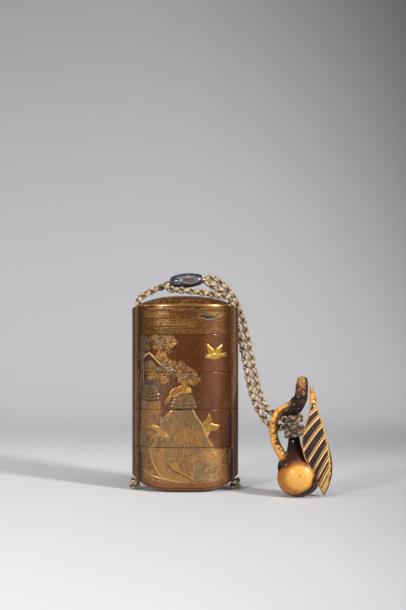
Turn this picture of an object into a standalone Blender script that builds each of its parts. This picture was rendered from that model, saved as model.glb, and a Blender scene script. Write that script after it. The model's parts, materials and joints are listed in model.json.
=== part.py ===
"""A lacquered inro: a lid and four nesting cases, threaded on a braided cord
with a bead (ojime) on top and a carved toggle (netsuke) at its end.

Metres, +Z up. The origin is the centre of the underside that the inro
stands on. The decorated front faces -Y and the width runs along X.
"""

import math

import bmesh
import bpy
from mathutils import Vector

MM = 0.001
GAP = 0.3                      # between neighbouring pieces

# --- inro ---
HALF_W = 21.6                  # panel, half width
HALF_T = 12.0                  # panel, half thickness
LENS = 2.3                     # superellipse exponent of the plan
SEAMS = (20.2, 37.1, 54.0, 70.9)
SHOULDER = 84.0
DOME = 4.3
RISER_H = 4.0
FLOOR = 1.6
RECESS = (18.3, 10.6)          # half axes of the socket under a case
RISER = (18.0, 10.3)           # outside of the riser
CAVITY = (16.8, 9.1)           # inside of the compartment
GROOVE_X = 20.85               # groove between panel and runner
RUNNER_OUT = 24.4
RUNNER_T = 4.4                 # half thickness of the runner
CHANNEL_X = 21.3
CHANNEL_R = 1.75
QUARTER = 8                    # panel points in a quarter of the plan
RUNNER_PTS = 4

# --- cord ---
CORD_R = 1.4
HELD_R = 1.4
PITCH = 2.9                    # spacing of the points along a strand

# --- bead ---
BEAD_RINGS = 9
BEAD_SIDES = 20

coll = bpy.data.collections.new("inro")
cutters = bpy.data.collections.new("cutters")


def clear_scene():
    for obj in list(bpy.data.objects):
        bpy.data.objects.remove(obj, do_unlink=True)


def material(name, colour, rough, metal=0.0):
    mat = bpy.data.materials.new(name)
    mat.use_nodes = True
    bsdf = mat.node_tree.nodes["Principled BSDF"]
    bsdf.inputs["Base Color"].default_value = (*colour, 1.0)
    bsdf.inputs["Roughness"].default_value = rough
    bsdf.inputs["Metallic"].default_value = metal
    return mat


def new_object(name, mesh, mat, into=None):
    obj = bpy.data.objects.new(name, mesh)
    (into or coll).objects.link(obj)
    if mat:
        mesh.materials.clear()
        mesh.materials.append(mat)
    return obj


def superellipse(a, b, n, t):
    c, s = math.cos(t), math.sin(t)
    return (a * math.copysign(abs(c) ** (2 / n), c),
            b * math.copysign(abs(s) ** (2 / n), s))


def mirrored(quarter):
    """A closed plan from its first quarter, which runs from +X to +Y."""
    right_back = quarter
    left_back = [(-x, y) for x, y in reversed(quarter[:-1])]
    left_front = [(-x, -y) for x, y in quarter[1:]]
    right_front = [(x, -y) for x, y in reversed(quarter[1:-1])]
    return right_back + left_back + left_front + right_front


def outer_plan():
    quarter = []
    for i in range(RUNNER_PTS):
        t = math.radians(82) * i / (RUNNER_PTS - 1)
        x, y = superellipse(RUNNER_OUT - 21.2, RUNNER_T, 2.6, t)
        quarter.append((x + 21.2, y))
    quarter.append((GROOVE_X, 4.05))
    first = 0.42
    for i in range(QUARTER):
        t = first + (math.pi / 2 - first) * i / (QUARTER - 1)
        quarter.append(superellipse(HALF_W, HALF_T, LENS, t))
    return mirrored(quarter)


def inner_plan(a, b):
    """A plain lens with as many points as the outer plan."""
    count = RUNNER_PTS + 1 + QUARTER
    quarter = []
    for i in range(count):
        t = (math.pi / 2) * (i / (count - 1)) ** 0.9
        quarter.append(superellipse(a, b, LENS, t))
    return mirrored(quarter)


def loft(name, rings, mat, cap_first=True, cap_last=True, into=None, closed=False):
    """Bridges rings of points (mm) into one surface; a cap is a fan on a centre point."""
    bm = bmesh.new()
    rows = [[bm.verts.new(Vector(p) * MM) for p in ring] for ring in rings]
    n = len(rows[0])
    pairs = list(zip(rows, rows[1:]))
    if closed:
        pairs.append((rows[-1], rows[0]))
    for low, high in pairs:
        for i in range(n):
            j = (i + 1) % n
            bm.faces.new((low[i], low[j], high[j], high[i]))
    for row, wanted in ((rows[0], cap_first), (rows[-1], cap_last)):
        if not wanted or closed:
            continue
        centre = bm.verts.new(sum((v.co for v in row), Vector()) / n)
        for i in range(n):
            bm.faces.new((row[i], row[(i + 1) % n], centre))
    bmesh.ops.recalc_face_normals(bm, faces=bm.faces)
    mesh = bpy.data.meshes.new(name)
    bm.to_mesh(mesh)
    bm.free()
    mesh.shade_smooth()
    mesh.set_sharp_from_angle(angle=math.radians(35))
    return new_object(name, mesh, mat, into)


def lens_radius(x, y):
    return (abs(x / HALF_W) ** LENS + abs(y / HALF_T) ** LENS) ** (1 / LENS)


def dome_z(x, y):
    r = min(1.0, lens_radius(x, y))
    return SHOULDER + DOME * (1 - r ** 3.0) ** 0.8


def base_rise(x):
    return 3.2 * (max(0.0, abs(x) - 9.0) / 12.6) ** 1.7


def at(plan, z):
    return [(x, y, z) for x, y in plan]


def scaled(plan, k):
    return [(x * k, y * k) for x, y in plan]


def base_ring(k, lift):
    """A ring of the domed underside, k being its share of the plan."""
    ring = []
    for (x, y), (px, py) in zip(outer_plan(), inner_plan(HALF_W, HALF_T)):
        if k >= 1.0:
            if abs(x) > GROOVE_X - 0.1:
                z = 4.4 + 2.6 * (abs(x) - GROOVE_X) / (RUNNER_OUT - GROOVE_X)
            else:
                z = lift + base_rise(x)
            ring.append((x, y, z))
        else:
            ring.append((px * k, py * k, lift + base_rise(px * k)))
    return ring


def top_ring():
    """The upper edge of the lid's wall, lower round the outside of the runners."""
    ring = []
    for x, y in outer_plan():
        z = SHOULDER - 0.5
        if abs(x) > GROOVE_X - 0.1:
            z = SHOULDER - 0.3 - 1.3 * max(0.0, (abs(x) - 22.2) / 2.2)
        ring.append((x, y, z))
    return ring


def dome_ring(k):
    return [(x * k, y * k, dome_z(x * k, y * k)) for x, y in inner_plan(HALF_W, HALF_T)]


def case(index, mat):
    """One tray: socket underneath, outer wall, riser above, compartment inside."""
    outer = outer_plan()
    top = SEAMS[index] - GAP / 2
    above = [
        at(outer, top),
        at(inner_plan(*RISER), top),
        at(inner_plan(*RISER), SEAMS[index] + RISER_H - 0.3),
        at(inner_plan(RISER[0] - 0.3, RISER[1] - 0.3), SEAMS[index] + RISER_H),
        at(inner_plan(*CAVITY), SEAMS[index] + RISER_H),
    ]
    if index == 0:
        floor = 4.8
        below = [base_ring(0.42, 0.0), base_ring(0.62, 0.25), base_ring(0.8, 0.65), base_ring(0.94, 1.15), base_ring(1.0, 1.9)]
    else:
        bottom = SEAMS[index - 1] + GAP / 2
        floor = SEAMS[index - 1] + RISER_H + 0.4 + FLOOR
        below = [
            at(inner_plan(*RECESS), SEAMS[index - 1] + RISER_H + 0.4),
            at(inner_plan(*RECESS), bottom),
            at(outer, bottom),
        ]
    inside = [at(inner_plan(CAVITY[0] - 0.6, CAVITY[1] - 0.6), floor)]
    return loft(f"case_{4 - index}", below + above + inside, mat)


def lid(mat):
    bottom = SEAMS[3] + GAP / 2
    ceiling = 81.0
    rings = [
        at(inner_plan(RECESS[0] - 2.0, RECESS[1] - 2.0), ceiling),
        at(inner_plan(*RECESS), ceiling - 1.6),
        at(inner_plan(*RECESS), bottom),
        at(outer_plan(), bottom),
        top_ring(),
        dome_ring(0.985),
        dome_ring(0.93),
        dome_ring(0.82),
        dome_ring(0.62),
        dome_ring(0.35),
    ]
    return loft("lid", rings, mat)


def channel_cutters():
    made = []
    for side in (-1, 1):
        bpy.ops.mesh.primitive_cylinder_add(
            vertices=14, radius=CHANNEL_R * MM, depth=0.110,
            location=(side * CHANNEL_X * MM, 0, 0.045))
        cutter = bpy.context.object
        cutter.name = f"channel_{'left' if side < 0 else 'right'}"
        cutter.hide_render = True
        cutter.display_type = "WIRE"
        for owner in list(cutter.users_collection):
            owner.objects.unlink(cutter)
        cutters.objects.link(cutter)
        made.append(cutter)
    return made


def drill(obj, tools):
    for tool in tools:
        cut = obj.modifiers.new(tool.name, "BOOLEAN")
        cut.operation = "DIFFERENCE"
        cut.solver = "EXACT"
        cut.object = tool


def smooth_route(points, pitch):
    """Points at an even pitch on a Catmull-Rom curve; each entry is (x, y, z, radius)."""
    ext = [points[0]] + list(points) + [points[-1]]
    dense = []
    for a, b, c, d in zip(ext, ext[1:], ext[2:], ext[3:]):
        for k in range(24):
            t = k / 24
            dense.append(tuple(
                0.5 * (2 * q + (r - p) * t + (2 * p - 5 * q + 4 * r - s) * t * t
                       + (3 * q - p - 3 * r + s) * t ** 3)
                for p, q, r, s in zip(a, b, c, d)))
    dense.append(tuple(points[-1]))
    length = [0.0]
    for p, q in zip(dense, dense[1:]):
        length.append(length[-1] + math.dist(p[:3], q[:3]))
    count = max(2, round(length[-1] / pitch))
    route, i = [], 0
    for k in range(count + 1):
        want = length[-1] * k / count
        while i < len(length) - 2 and length[i + 1] < want:
            i += 1
        step = length[i + 1] - length[i]
        t = (want - length[i]) / step if step else 0.0
        route.append(tuple(p + (q - p) * min(1.0, t) for p, q in zip(dense[i], dense[i + 1])))
    return route


def tube(name, route, radius, mat, resolution=2):
    """A cord: one open poly spline with a round bevel and filled ends."""
    curve = bpy.data.curves.new(name, "CURVE")
    curve.dimensions = "3D"
    curve.bevel_depth = radius * MM
    curve.bevel_resolution = resolution
    curve.use_fill_caps = True
    spline = curve.splines.new("POLY")
    spline.points.add(len(route) - 1)
    for point, (x, y, z, k) in zip(spline.points, route):
        point.co = (x * MM, y * MM, z * MM, 1.0)
        point.radius = k
    curve.materials.append(mat)
    obj = bpy.data.objects.new(name, curve)
    coll.objects.link(obj)
    return obj


# Free strands: x, y, z in mm and the share of the full radius, which is
# less where the bead squeezes them.
HANG = [(25.2, 6.9, 75.6), (26.2, 6.0, 72.2), (27.4, 4.4, 66.9), (28.6, 1.6, 60.7),
        (29.7, -2.6, 54.5), (30.9, -7.6, 47.6), (32.6, -12.6, 41.6), (34.6, -16.8, 37.6)]
APART = 1.62                   # half the distance between the two hanging strands


def hanging(side):
    """The shared drop, shifted square to the run: side +1 is the outer strand."""
    shifted = []
    for i, (x, y, z) in enumerate(HANG):
        a = HANG[max(0, i - 1)]
        b = HANG[min(len(HANG) - 1, i + 1)]
        dx, dz = b[0] - a[0], b[2] - a[2]
        size = math.hypot(dx, dz)
        nx, nz = -dz / size, dx / size
        shifted.append((x + side * APART * nx, y, z + side * APART * nz, 1.0))
    return shifted


STRAND_LEFT = ([
    (-21.3, 0.0, 84.2, 1.0), (-21.2, 0.0, 85.8, 1.0), (-19.9, 0.0, 87.8, 1.0),
    (-17.6, 0.3, 89.1, 1.0), (-15.2, 0.6, 90.4, 1.0), (-12.4, 0.9, 91.6, 1.0),
    (-9.4, 1.3, 92.7, 0.95), (-6.6, 1.33, 93.9, 0.75), (-3.0, 1.35, 94.6, 0.77),
    (1.0, 1.35, 95.0, 0.77), (5.0, 1.35, 95.2, 0.77), (8.2, 1.4, 95.4, 0.77),
    (10.8, 1.9, 96.3, 1.0), (13.4, 2.6, 96.0, 1.0), (16.2, 3.2, 94.3, 1.0),
    (18.4, 3.9, 92.2, 1.0), (20.4, 5.4, 90.1, 1.0), (22.2, 7.1, 87.6, 1.0),
    (23.7, 8.8, 84.7, 1.0), (24.9, 9.7, 81.6, 1.0), (26.1, 9.1, 78.5, 1.0)]
    + hanging(1)
    + [(37.3, -18.9, 37.2, 1.0), (40.0, -20.1, 35.9, 1.0), (42.6, -21.3, 34.6, 1.0),
       (43.6, -23.4, 33.9, 1.0), (43.6, -25.4, 33.7, 1.0)])

STRAND_RIGHT = ([
    (21.3, 0.0, 84.2, 1.0), (21.3, 0.0, 85.6, 1.0), (21.1, -1.1, 87.0, 1.0),
    (19.6, -3.2, 87.7, 1.0), (17.3, -5.0, 87.7, 1.0), (14.3, -5.6, 88.4, 1.0),
    (10.8, -5.4, 89.2, 1.0), (7.0, -5.0, 89.8, 1.0), (3.0, -4.7, 90.3, 1.0),
    (-1.3, -4.5, 90.6, 1.0), (-4.6, -4.0, 90.9, 1.0), (-7.0, -3.3, 91.2, 1.0),
    (-8.5, -2.6, 92.3, 0.9), (-8.2, -1.8, 93.6, 0.85), (-6.3, -1.35, 93.9, 0.77),
    (-3.0, -1.35, 94.6, 0.77), (1.0, -1.35, 95.0, 0.77), (5.0, -1.35, 95.2, 0.77),
    (8.0, -1.4, 95.25, 0.77), (10.0, -1.2, 94.2, 1.0), (12.4, -0.9, 92.7, 1.0),
    (14.8, -0.4, 91.3, 1.0), (17.2, 0.5, 89.9, 1.0), (19.2, 2.0, 88.2, 1.0),
    (20.7, 4.0, 86.8, 1.0), (21.8, 6.3, 84.4, 1.0), (22.8, 6.6, 81.6, 1.0),
    (23.4, 6.4, 78.5, 1.0)]
    + hanging(-1)
    + [(35.9, -18.9, 32.6, 1.0), (38.6, -20.2, 30.9, 1.0), (41.6, -21.2, 30.2, 1.0),
       (43.5, -23.2, 30.3, 1.0), (43.6, -25.4, 30.5, 1.0)])


def bead(mat):
    """Egg-shaped bead on its side, with an oval hole that both strands share."""
    rings = []
    left, right = -6.9, 7.7
    for k in range(BEAD_RINGS):
        t = k / (BEAD_RINGS - 1)
        x = left + (right - left) * (0.5 - 0.5 * math.cos(math.pi * t))
        u = (x - left) / (right - left)
        swell = math.sin(math.pi * min(1.0, max(0.0, u)) ** 0.92) ** 0.62
        mid = 93.95 + 1.35 * u ** 0.7
        half_h = 2.05 + (3.55 - 2.05) * swell
        half_w = 3.1 + (4.9 - 3.1) * swell
        rings.append([(x, half_w * math.cos(a), mid + 0.3 + half_h * math.sin(a))
                      for a in (2 * math.pi * i / BEAD_SIDES for i in range(BEAD_SIDES))])
    for k in range(5):
        t = 1 - k / 4
        x = left + (right - left) * t
        u = t
        mid = 93.95 + 1.35 * u ** 0.7
        rings.append([(x, w, mid + h) for w, h in (
            superellipse(2.8, 1.45, 2.6, 2 * math.pi * i / BEAD_SIDES) for i in range(BEAD_SIDES))])
    return loft("ojime", rings, mat, closed=True)


def blob(name, centre, radii, mat, tilt=0.0, rings=8, sides=14):
    """A knot: a slightly pinched ball, turned about Y."""
    bm = bmesh.new()
    bmesh.ops.create_uvsphere(bm, u_segments=sides, v_segments=rings, radius=1.0)
    for v in bm.verts:
        pinch = 1.0 - 0.10 * math.exp(-(v.co.z / 0.3) ** 2)
        v.co = Vector((v.co.x * radii[0] * pinch, v.co.y * radii[1] * pinch, v.co.z * radii[2])) * MM
    mesh = bpy.data.meshes.new(name)
    bm.to_mesh(mesh)
    bm.free()
    mesh.shade_smooth()
    obj = new_object(name, mesh, mat)
    obj.location = Vector(centre) * MM
    obj.rotation_euler = (0.0, tilt, 0.0)
    return obj


def tapered(points, sides=12):
    """Rings square to a path of (x, y, z, radius)."""
    route = smooth_route(points, 1.6)
    rings = []
    side = None
    for i, (x, y, z, r) in enumerate(route):
        a = Vector(route[max(0, i - 1)][:3])
        b = Vector(route[min(len(route) - 1, i + 1)][:3])
        along = (b - a).normalized()
        if side is None:
            side = along.cross(Vector((0, 1, 0)))
        side = (side - along * side.dot(along)).normalized()
        up = along.cross(side)
        rings.append([tuple(Vector((x, y, z)) + (side * math.cos(t) + up * math.sin(t)) * r)
                      for t in (2 * math.pi * k / sides for k in range(sides))])
    return rings


TOGGLE_Y = -24.0
STEM = [(51.6, 0, 50.6, 2.5), (51.4, 0, 48.6, 2.85), (51.2, 0, 45.6, 2.95), (50.9, 0, 42.9, 3.0),
        (49.4, 0, 40.2, 2.8), (48.0, 0.3, 37.2, 2.4), (47.8, 0.6, 33.6, 2.1), (48.1, 0.6, 29.0, 2.1),
        (48.2, 0.3, 24.6, 2.3), (48.2, 0, 20.6, 3.0), (48.6, 0, 16.6, 4.6)]
LOOP = [(50.6, 0, 41.4, 2.2), (48.3, 0, 40.5, 2.0), (45.2, 0, 39.5, 1.8), (42.0, 0, 37.7, 1.85),
        (39.9, 0, 34.7, 1.95), (39.1, 0, 31.0, 2.05), (39.15, 0, 26.7, 2.05), (40.3, 0, 22.8, 2.1),
        (42.2, 0, 19.3, 2.2), (44.4, 0, 15.6, 2.2)]
# The leaf, from stalk to tip: height, left edge and right edge.
LEAF = [(48.0, 54.7, 56.3), (44.2, 54.6, 57.3), (40.6, 54.5, 58.1), (36.5, 54.0, 59.2),
        (33.0, 52.6, 60.4), (28.8, 51.2, 61.5), (24.8, 50.6, 62.5), (21.0, 51.0, 63.5),
        (17.5, 52.0, 64.4), (13.8, 54.2, 64.8), (9.9, 56.2, 64.7), (5.6, 58.2, 63.7),
        (2.4, 59.8, 62.4), (0.8, 60.7, 61.6)]


def leaf_rings(sides=12):
    rings = []
    for z, x0, x1 in LEAF:
        t = (48.0 - z) / 47.2
        half = (x1 - x0) / 2
        thick = 1.1 if half > 1.2 else max(0.55, half * 0.95)
        y = TOGGLE_Y + 0.3 - 4.6 * math.sin(math.pi * min(1.0, t * 1.02)) ** 0.8
        turn = math.radians(18)
        ring = []
        for k in range(sides):
            w, d = superellipse(half, thick, 2.4, 2 * math.pi * k / sides)
            ring.append(((x0 + x1) / 2 + w, y + d + w * math.tan(turn), z))
        rings.append(ring)
    return rings


def toggle(mat):
    """Gourd with its stem, vine and leaf, grown into one piece."""
    bm = bmesh.new()
    shift = lambda path: [(x, y + TOGGLE_Y, z, r) for x, y, z, r in path]
    parts = [tapered(shift(STEM)), tapered(shift(LOOP)), leaf_rings()]
    for rings in parts:
        rows = [[bm.verts.new(Vector(p) * MM) for p in ring] for ring in rings]
        n = len(rows[0])
        for low, high in zip(rows, rows[1:]):
            for i in range(n):
                bm.faces.new((low[i], low[(i + 1) % n], high[(i + 1) % n], high[i]))
        for row in (rows[0], rows[-1]):
            bm.faces.new(row)
    bmesh.ops.recalc_face_normals(bm, faces=bm.faces)
    centre = Vector((50.0, TOGGLE_Y, 9.4))
    body = bmesh.ops.create_uvsphere(bm, u_segments=28, v_segments=20, radius=1.0)["verts"]
    for v in body:
        x, y, z = v.co
        wide = 9.45 * (1 - 0.10 * z)
        v.co = (centre + Vector((x * wide, y * 8.0, z * 9.4))) * MM
    tip = bmesh.ops.create_uvsphere(bm, u_segments=14, v_segments=10, radius=1.0)["verts"]
    for v in tip:
        v.co = (Vector((51.55, TOGGLE_Y, 50.4)) + v.co * 2.6) * MM
    mesh = bpy.data.meshes.new("netsuke")
    bm.to_mesh(mesh)
    bm.free()
    obj = new_object("netsuke", mesh, mat)
    grow = obj.modifiers.new("grow", "REMESH")
    grow.mode = "VOXEL"
    grow.voxel_size = 0.45 * MM
    thin = obj.modifiers.new("thin", "DECIMATE")
    thin.ratio = 0.075
    return obj


def main():
    clear_scene()
    bpy.context.scene.collection.children.link(coll)
    bpy.context.scene.collection.children.link(cutters)
    cutters.hide_render = True

    lacquer = material("lacquer", (0.20, 0.09, 0.035), 0.28)
    lacquer_lid = material("lacquer_lid", (0.36, 0.17, 0.05), 0.26)
    braid = material("braid", (0.62, 0.47, 0.30), 0.85)
    stone = material("bead", (0.05, 0.055, 0.075), 0.2)
    antler = material("antler", (0.70, 0.40, 0.12), 0.3)

    tools = channel_cutters()
    for index in range(4):
        drill(case(index, lacquer), tools)
    drill(lid(lacquer_lid), tools)

    for side, name in ((-1, "left"), (1, "right")):
        x = side * CHANNEL_X
        tube(f"cord_held_{name}", [(x, 0, z, 1.0) for z in (5.4 + 7.8 * k for k in range(10))]
             + [(x, 0, 83.6, 1.0)], HELD_R, braid)
    tube("cord_free_left", smooth_route(STRAND_LEFT, PITCH), CORD_R, braid)
    tube("cord_free_right", smooth_route(STRAND_RIGHT, PITCH), CORD_R, braid)
    blob("knot_bottom_left", (-22.9, 0.0, 2.55), (2.4, 3.0, 2.35), braid)
    blob("knot_bottom_right", (22.9, 0.0, 2.55), (2.4, 3.0, 2.35), braid)
    blob("knot_end", (48.0, -29.9, 31.5), (4.0, 3.3, 4.9), braid, rings=10, sides=16)
    bead(stone)
    toggle(antler)


main()
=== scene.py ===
"""The looks of the lacquered inro: fine shells with the raised gold picture,
the braided cord, the bead and the carved toggle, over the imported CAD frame."""

import json
import math

import bpy
import numpy as np
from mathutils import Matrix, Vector

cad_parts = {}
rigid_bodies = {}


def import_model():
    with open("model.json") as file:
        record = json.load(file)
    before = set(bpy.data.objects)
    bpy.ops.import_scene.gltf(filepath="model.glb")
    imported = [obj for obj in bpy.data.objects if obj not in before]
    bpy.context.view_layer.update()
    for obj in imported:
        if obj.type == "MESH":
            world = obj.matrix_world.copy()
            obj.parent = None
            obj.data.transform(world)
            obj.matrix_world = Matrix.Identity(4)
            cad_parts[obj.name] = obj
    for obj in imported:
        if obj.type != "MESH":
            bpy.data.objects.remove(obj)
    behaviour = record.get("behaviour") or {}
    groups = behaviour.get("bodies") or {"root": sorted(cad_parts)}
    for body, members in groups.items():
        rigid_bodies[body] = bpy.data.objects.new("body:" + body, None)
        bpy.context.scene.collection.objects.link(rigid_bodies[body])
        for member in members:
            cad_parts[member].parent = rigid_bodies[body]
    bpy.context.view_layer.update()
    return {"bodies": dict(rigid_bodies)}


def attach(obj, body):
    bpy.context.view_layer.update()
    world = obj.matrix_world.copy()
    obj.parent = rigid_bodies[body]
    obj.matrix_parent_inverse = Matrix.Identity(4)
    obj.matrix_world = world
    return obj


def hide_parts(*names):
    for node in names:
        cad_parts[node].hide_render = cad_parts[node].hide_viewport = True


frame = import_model()
MM = 0.001
BODY = list(frame["bodies"])[0]

# ------------------------------------------------------------------ camera
LENS = 77.66
camera_data = bpy.data.cameras.new("camera")
camera_data.sensor_fit = "AUTO"
camera_data.sensor_width = 36.0
camera_data.lens = LENS
camera_data.clip_start = 0.01
camera_data.clip_end = 20.0
camera = bpy.data.objects.new("camera", camera_data)
bpy.context.scene.collection.objects.link(camera)
camera.location = (0.0081, -0.600, 0.084)
camera.rotation_euler = (math.radians(90.0), 0.0, 0.0)
bpy.context.scene.camera = camera


# ------------------------------------------------------------------ helpers
def rgb(r, g, b):
    """Screen colour, 0 to 255, as linear numbers."""
    c = np.array([r, g, b], float) / 255.0
    return np.where(c <= 0.04045, c / 12.92, ((c + 0.055) / 1.055) ** 2.4)


def smoothstep(a, b, v):
    t = np.clip((v - a) / (b - a), 0.0, 1.0)
    return t * t * (3 - 2 * t)


def hash01(ix, iy, seed):
    h = (ix.astype(np.int64) * 374761393 + iy.astype(np.int64) * 668265263 + seed * 1442695041) & 0xFFFFFFFF
    h = ((h ^ (h >> 13)) * 1274126177) & 0xFFFFFFFF
    h = (h ^ (h >> 16)) & 0xFFFFFFFF
    return h / 4294967295.0


def noise2(x, y, seed=0):
    """Smooth value noise, 0 to 1, with cells of size 1."""
    x = np.asarray(x, float)
    y = np.asarray(y, float)
    ix, iy = np.floor(x), np.floor(y)
    fx, fy = x - ix, y - iy
    fx, fy = fx * fx * (3 - 2 * fx), fy * fy * (3 - 2 * fy)
    a = hash01(ix, iy, seed)
    b = hash01(ix + 1, iy, seed)
    c = hash01(ix, iy + 1, seed)
    d = hash01(ix + 1, iy + 1, seed)
    return (a * (1 - fx) + b * fx) * (1 - fy) + (c * (1 - fx) + d * fx) * fy


def fractal(x, y, seed=0, octaves=3):
    total, size, amount = 0.0, 0.0, 1.0
    for k in range(octaves):
        total = total + amount * noise2(x * 2 ** k, y * 2 ** k, seed + 17 * k)
        size += amount
        amount *= 0.5
    return total / size


def catmull(points, per=8, closed=False):
    """Smooth curve through points; works for any number of coordinates."""
    p = np.asarray(points, float)
    n = len(p)
    out = []
    for i in range(n if closed else n - 1):
        a = p[(i - 1) % n] if closed else p[max(i - 1, 0)]
        b = p[i]
        c = p[(i + 1) % n] if closed else p[min(i + 1, n - 1)]
        d = p[(i + 2) % n] if closed else p[min(i + 2, n - 1)]
        for k in range(per):
            t = k / per
            out.append(0.5 * (2 * b + (c - a) * t + (2 * a - 5 * b + 4 * c - d) * t * t
                              + (3 * b - a - 3 * c + d) * t ** 3))
    if not closed:
        out.append(p[-1])
    return np.array(out)


def build(name, verts, quads=None, tris=None, paint=None, finish=None, material=None, smooth=True):
    """A mesh object from arrays: verts in mm, paint linear RGB, finish (metal, rough, extra)."""
    mesh = bpy.data.meshes.new(name)
    verts = np.asarray(verts, np.float32) * MM
    loops, starts, totals = [], [], []
    at = 0
    for faces in (quads, tris):
        if faces is None or not len(faces):
            continue
        faces = np.asarray(faces, np.int32)
        loops.append(faces.ravel())
        starts.append(at + np.arange(len(faces)) * faces.shape[1])
        totals.append(np.full(len(faces), faces.shape[1]))
        at += faces.size
    loops = np.concatenate(loops)
    starts = np.concatenate(starts)
    totals = np.concatenate(totals)
    mesh.vertices.add(len(verts))
    mesh.vertices.foreach_set("co", verts.ravel())
    mesh.loops.add(len(loops))
    mesh.loops.foreach_set("vertex_index", loops.astype(np.int32))
    mesh.polygons.add(len(starts))
    mesh.polygons.foreach_set("loop_start", starts.astype(np.int32))
    mesh.polygons.foreach_set("loop_total", totals.astype(np.int32))
    mesh.update(calc_edges=True)
    mesh.validate()
    for label, values in (("paint", paint), ("finish", finish)):
        if values is None:
            continue
        layer = mesh.attributes.new(label, "FLOAT_COLOR", "POINT")
        full = np.ones((len(verts), 4), np.float32)
        full[:, :3] = values
        layer.data.foreach_set("color", full.ravel())
    if smooth:
        mesh.shade_smooth()
    obj = bpy.data.objects.new(name, mesh)
    bpy.context.scene.collection.objects.link(obj)
    if material:
        mesh.materials.append(material)
    return obj


def painted(name, rough=None, metal=None, coat=0.0, coat_rough=0.05, bump=0.0, bump_scale=1500.0,
            speck=0.0, speck_scale=2600.0, speck_colour=(0.8, 0.5, 0.2), sheen=0.0, sss=0.0, ior=1.5, spec=0.5):
    """A Principled material that reads the colour and finish laid on the mesh, with fine procedural grain."""
    mat = bpy.data.materials.new(name)
    mat.use_nodes = True
    nodes, links = mat.node_tree.nodes, mat.node_tree.links
    bsdf = nodes["Principled BSDF"]
    colour = nodes.new("ShaderNodeAttribute")
    colour.attribute_name = "paint"
    last = colour.outputs["Color"]
    coords = nodes.new("ShaderNodeTexCoord")
    if speck:
        fleck = nodes.new("ShaderNodeTexNoise")
        fleck.inputs["Scale"].default_value = speck_scale
        fleck.inputs["Detail"].default_value = 1.0
        links.new(coords.outputs["Object"], fleck.inputs["Vector"])
        ramp = nodes.new("ShaderNodeMapRange")
        ramp.inputs["From Min"].default_value = 0.56
        ramp.inputs["From Max"].default_value = 0.68
        ramp.inputs["To Min"].default_value = 0.0
        ramp.inputs["To Max"].default_value = speck
        links.new(fleck.outputs["Fac"], ramp.inputs["Value"])
        mix = nodes.new("ShaderNodeMix")
        mix.data_type = "RGBA"
        links.new(ramp.outputs["Result"], mix.inputs["Factor"])
        links.new(last, mix.inputs["A"])
        mix.inputs["B"].default_value = (*speck_colour, 1.0)
        last = mix.outputs["Result"]
    links.new(last, bsdf.inputs["Base Color"])
    if rough is None or metal is None:
        finish = nodes.new("ShaderNodeAttribute")
        finish.attribute_name = "finish"
        split = nodes.new("ShaderNodeSeparateColor")
        links.new(finish.outputs["Color"], split.inputs["Color"])
        links.new(split.outputs["Red"], bsdf.inputs["Metallic"])
        links.new(split.outputs["Green"], bsdf.inputs["Roughness"])
    if rough is not None:
        bsdf.inputs["Roughness"].default_value = rough
    if metal is not None:
        bsdf.inputs["Metallic"].default_value = metal
    bsdf.inputs["Coat Weight"].default_value = coat
    bsdf.inputs["Specular IOR Level"].default_value = spec
    bsdf.inputs["Coat Roughness"].default_value = coat_rough
    bsdf.inputs["IOR"].default_value = ior
    if sheen:
        bsdf.inputs["Sheen Weight"].default_value = sheen
    if sss:
        bsdf.inputs["Subsurface Weight"].default_value = sss
        bsdf.inputs["Subsurface Radius"].default_value = (1.0, 0.45, 0.15)
        bsdf.inputs["Subsurface Scale"].default_value = 0.0015
    if bump:
        grain = nodes.new("ShaderNodeTexNoise")
        grain.inputs["Scale"].default_value = bump_scale
        grain.inputs["Detail"].default_value = 3.0
        links.new(coords.outputs["Object"], grain.inputs["Vector"])
        push = nodes.new("ShaderNodeBump")
        push.inputs["Strength"].default_value = bump
        push.inputs["Distance"].default_value = 0.0002
        links.new(grain.outputs["Fac"], push.inputs["Height"])
        links.new(push.outputs["Normal"], bsdf.inputs["Normal"])
    return mat


# ------------------------------------------------------------------ cord
def smooth_route(points, pitch):
    dense = catmull(points, 24)
    step = np.linalg.norm(np.diff(dense[:, :3], axis=0), axis=1)
    run = np.concatenate([[0.0], np.cumsum(step)])
    count = max(2, int(round(run[-1] / pitch)))
    want = np.linspace(0, run[-1], count + 1)
    return np.stack([np.interp(want, run, dense[:, k]) for k in range(dense.shape[1])], 1)


def frames_along(path):
    """Tangent, side and up along a path, turning as little as possible."""
    tangent = np.gradient(path, axis=0)
    tangent /= np.linalg.norm(tangent, axis=1)[:, None]
    side = np.cross(tangent[0], [0.0, 1.0, 0.0])
    if np.linalg.norm(side) < 1e-3:
        side = np.array([1.0, 0.0, 0.0])
    sides = []
    for t in tangent:
        side = side - t * np.dot(side, t)
        side = side / np.linalg.norm(side)
        sides.append(side)
    sides = np.array(sides)
    return tangent, sides, np.cross(tangent, sides)


CORD_D = 2.8
BRAID_PITCH = 9.4
LIGHT, MID, DARK = rgb(206, 180, 144), rgb(118, 92, 62), rgb(20, 12, 7)


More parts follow.
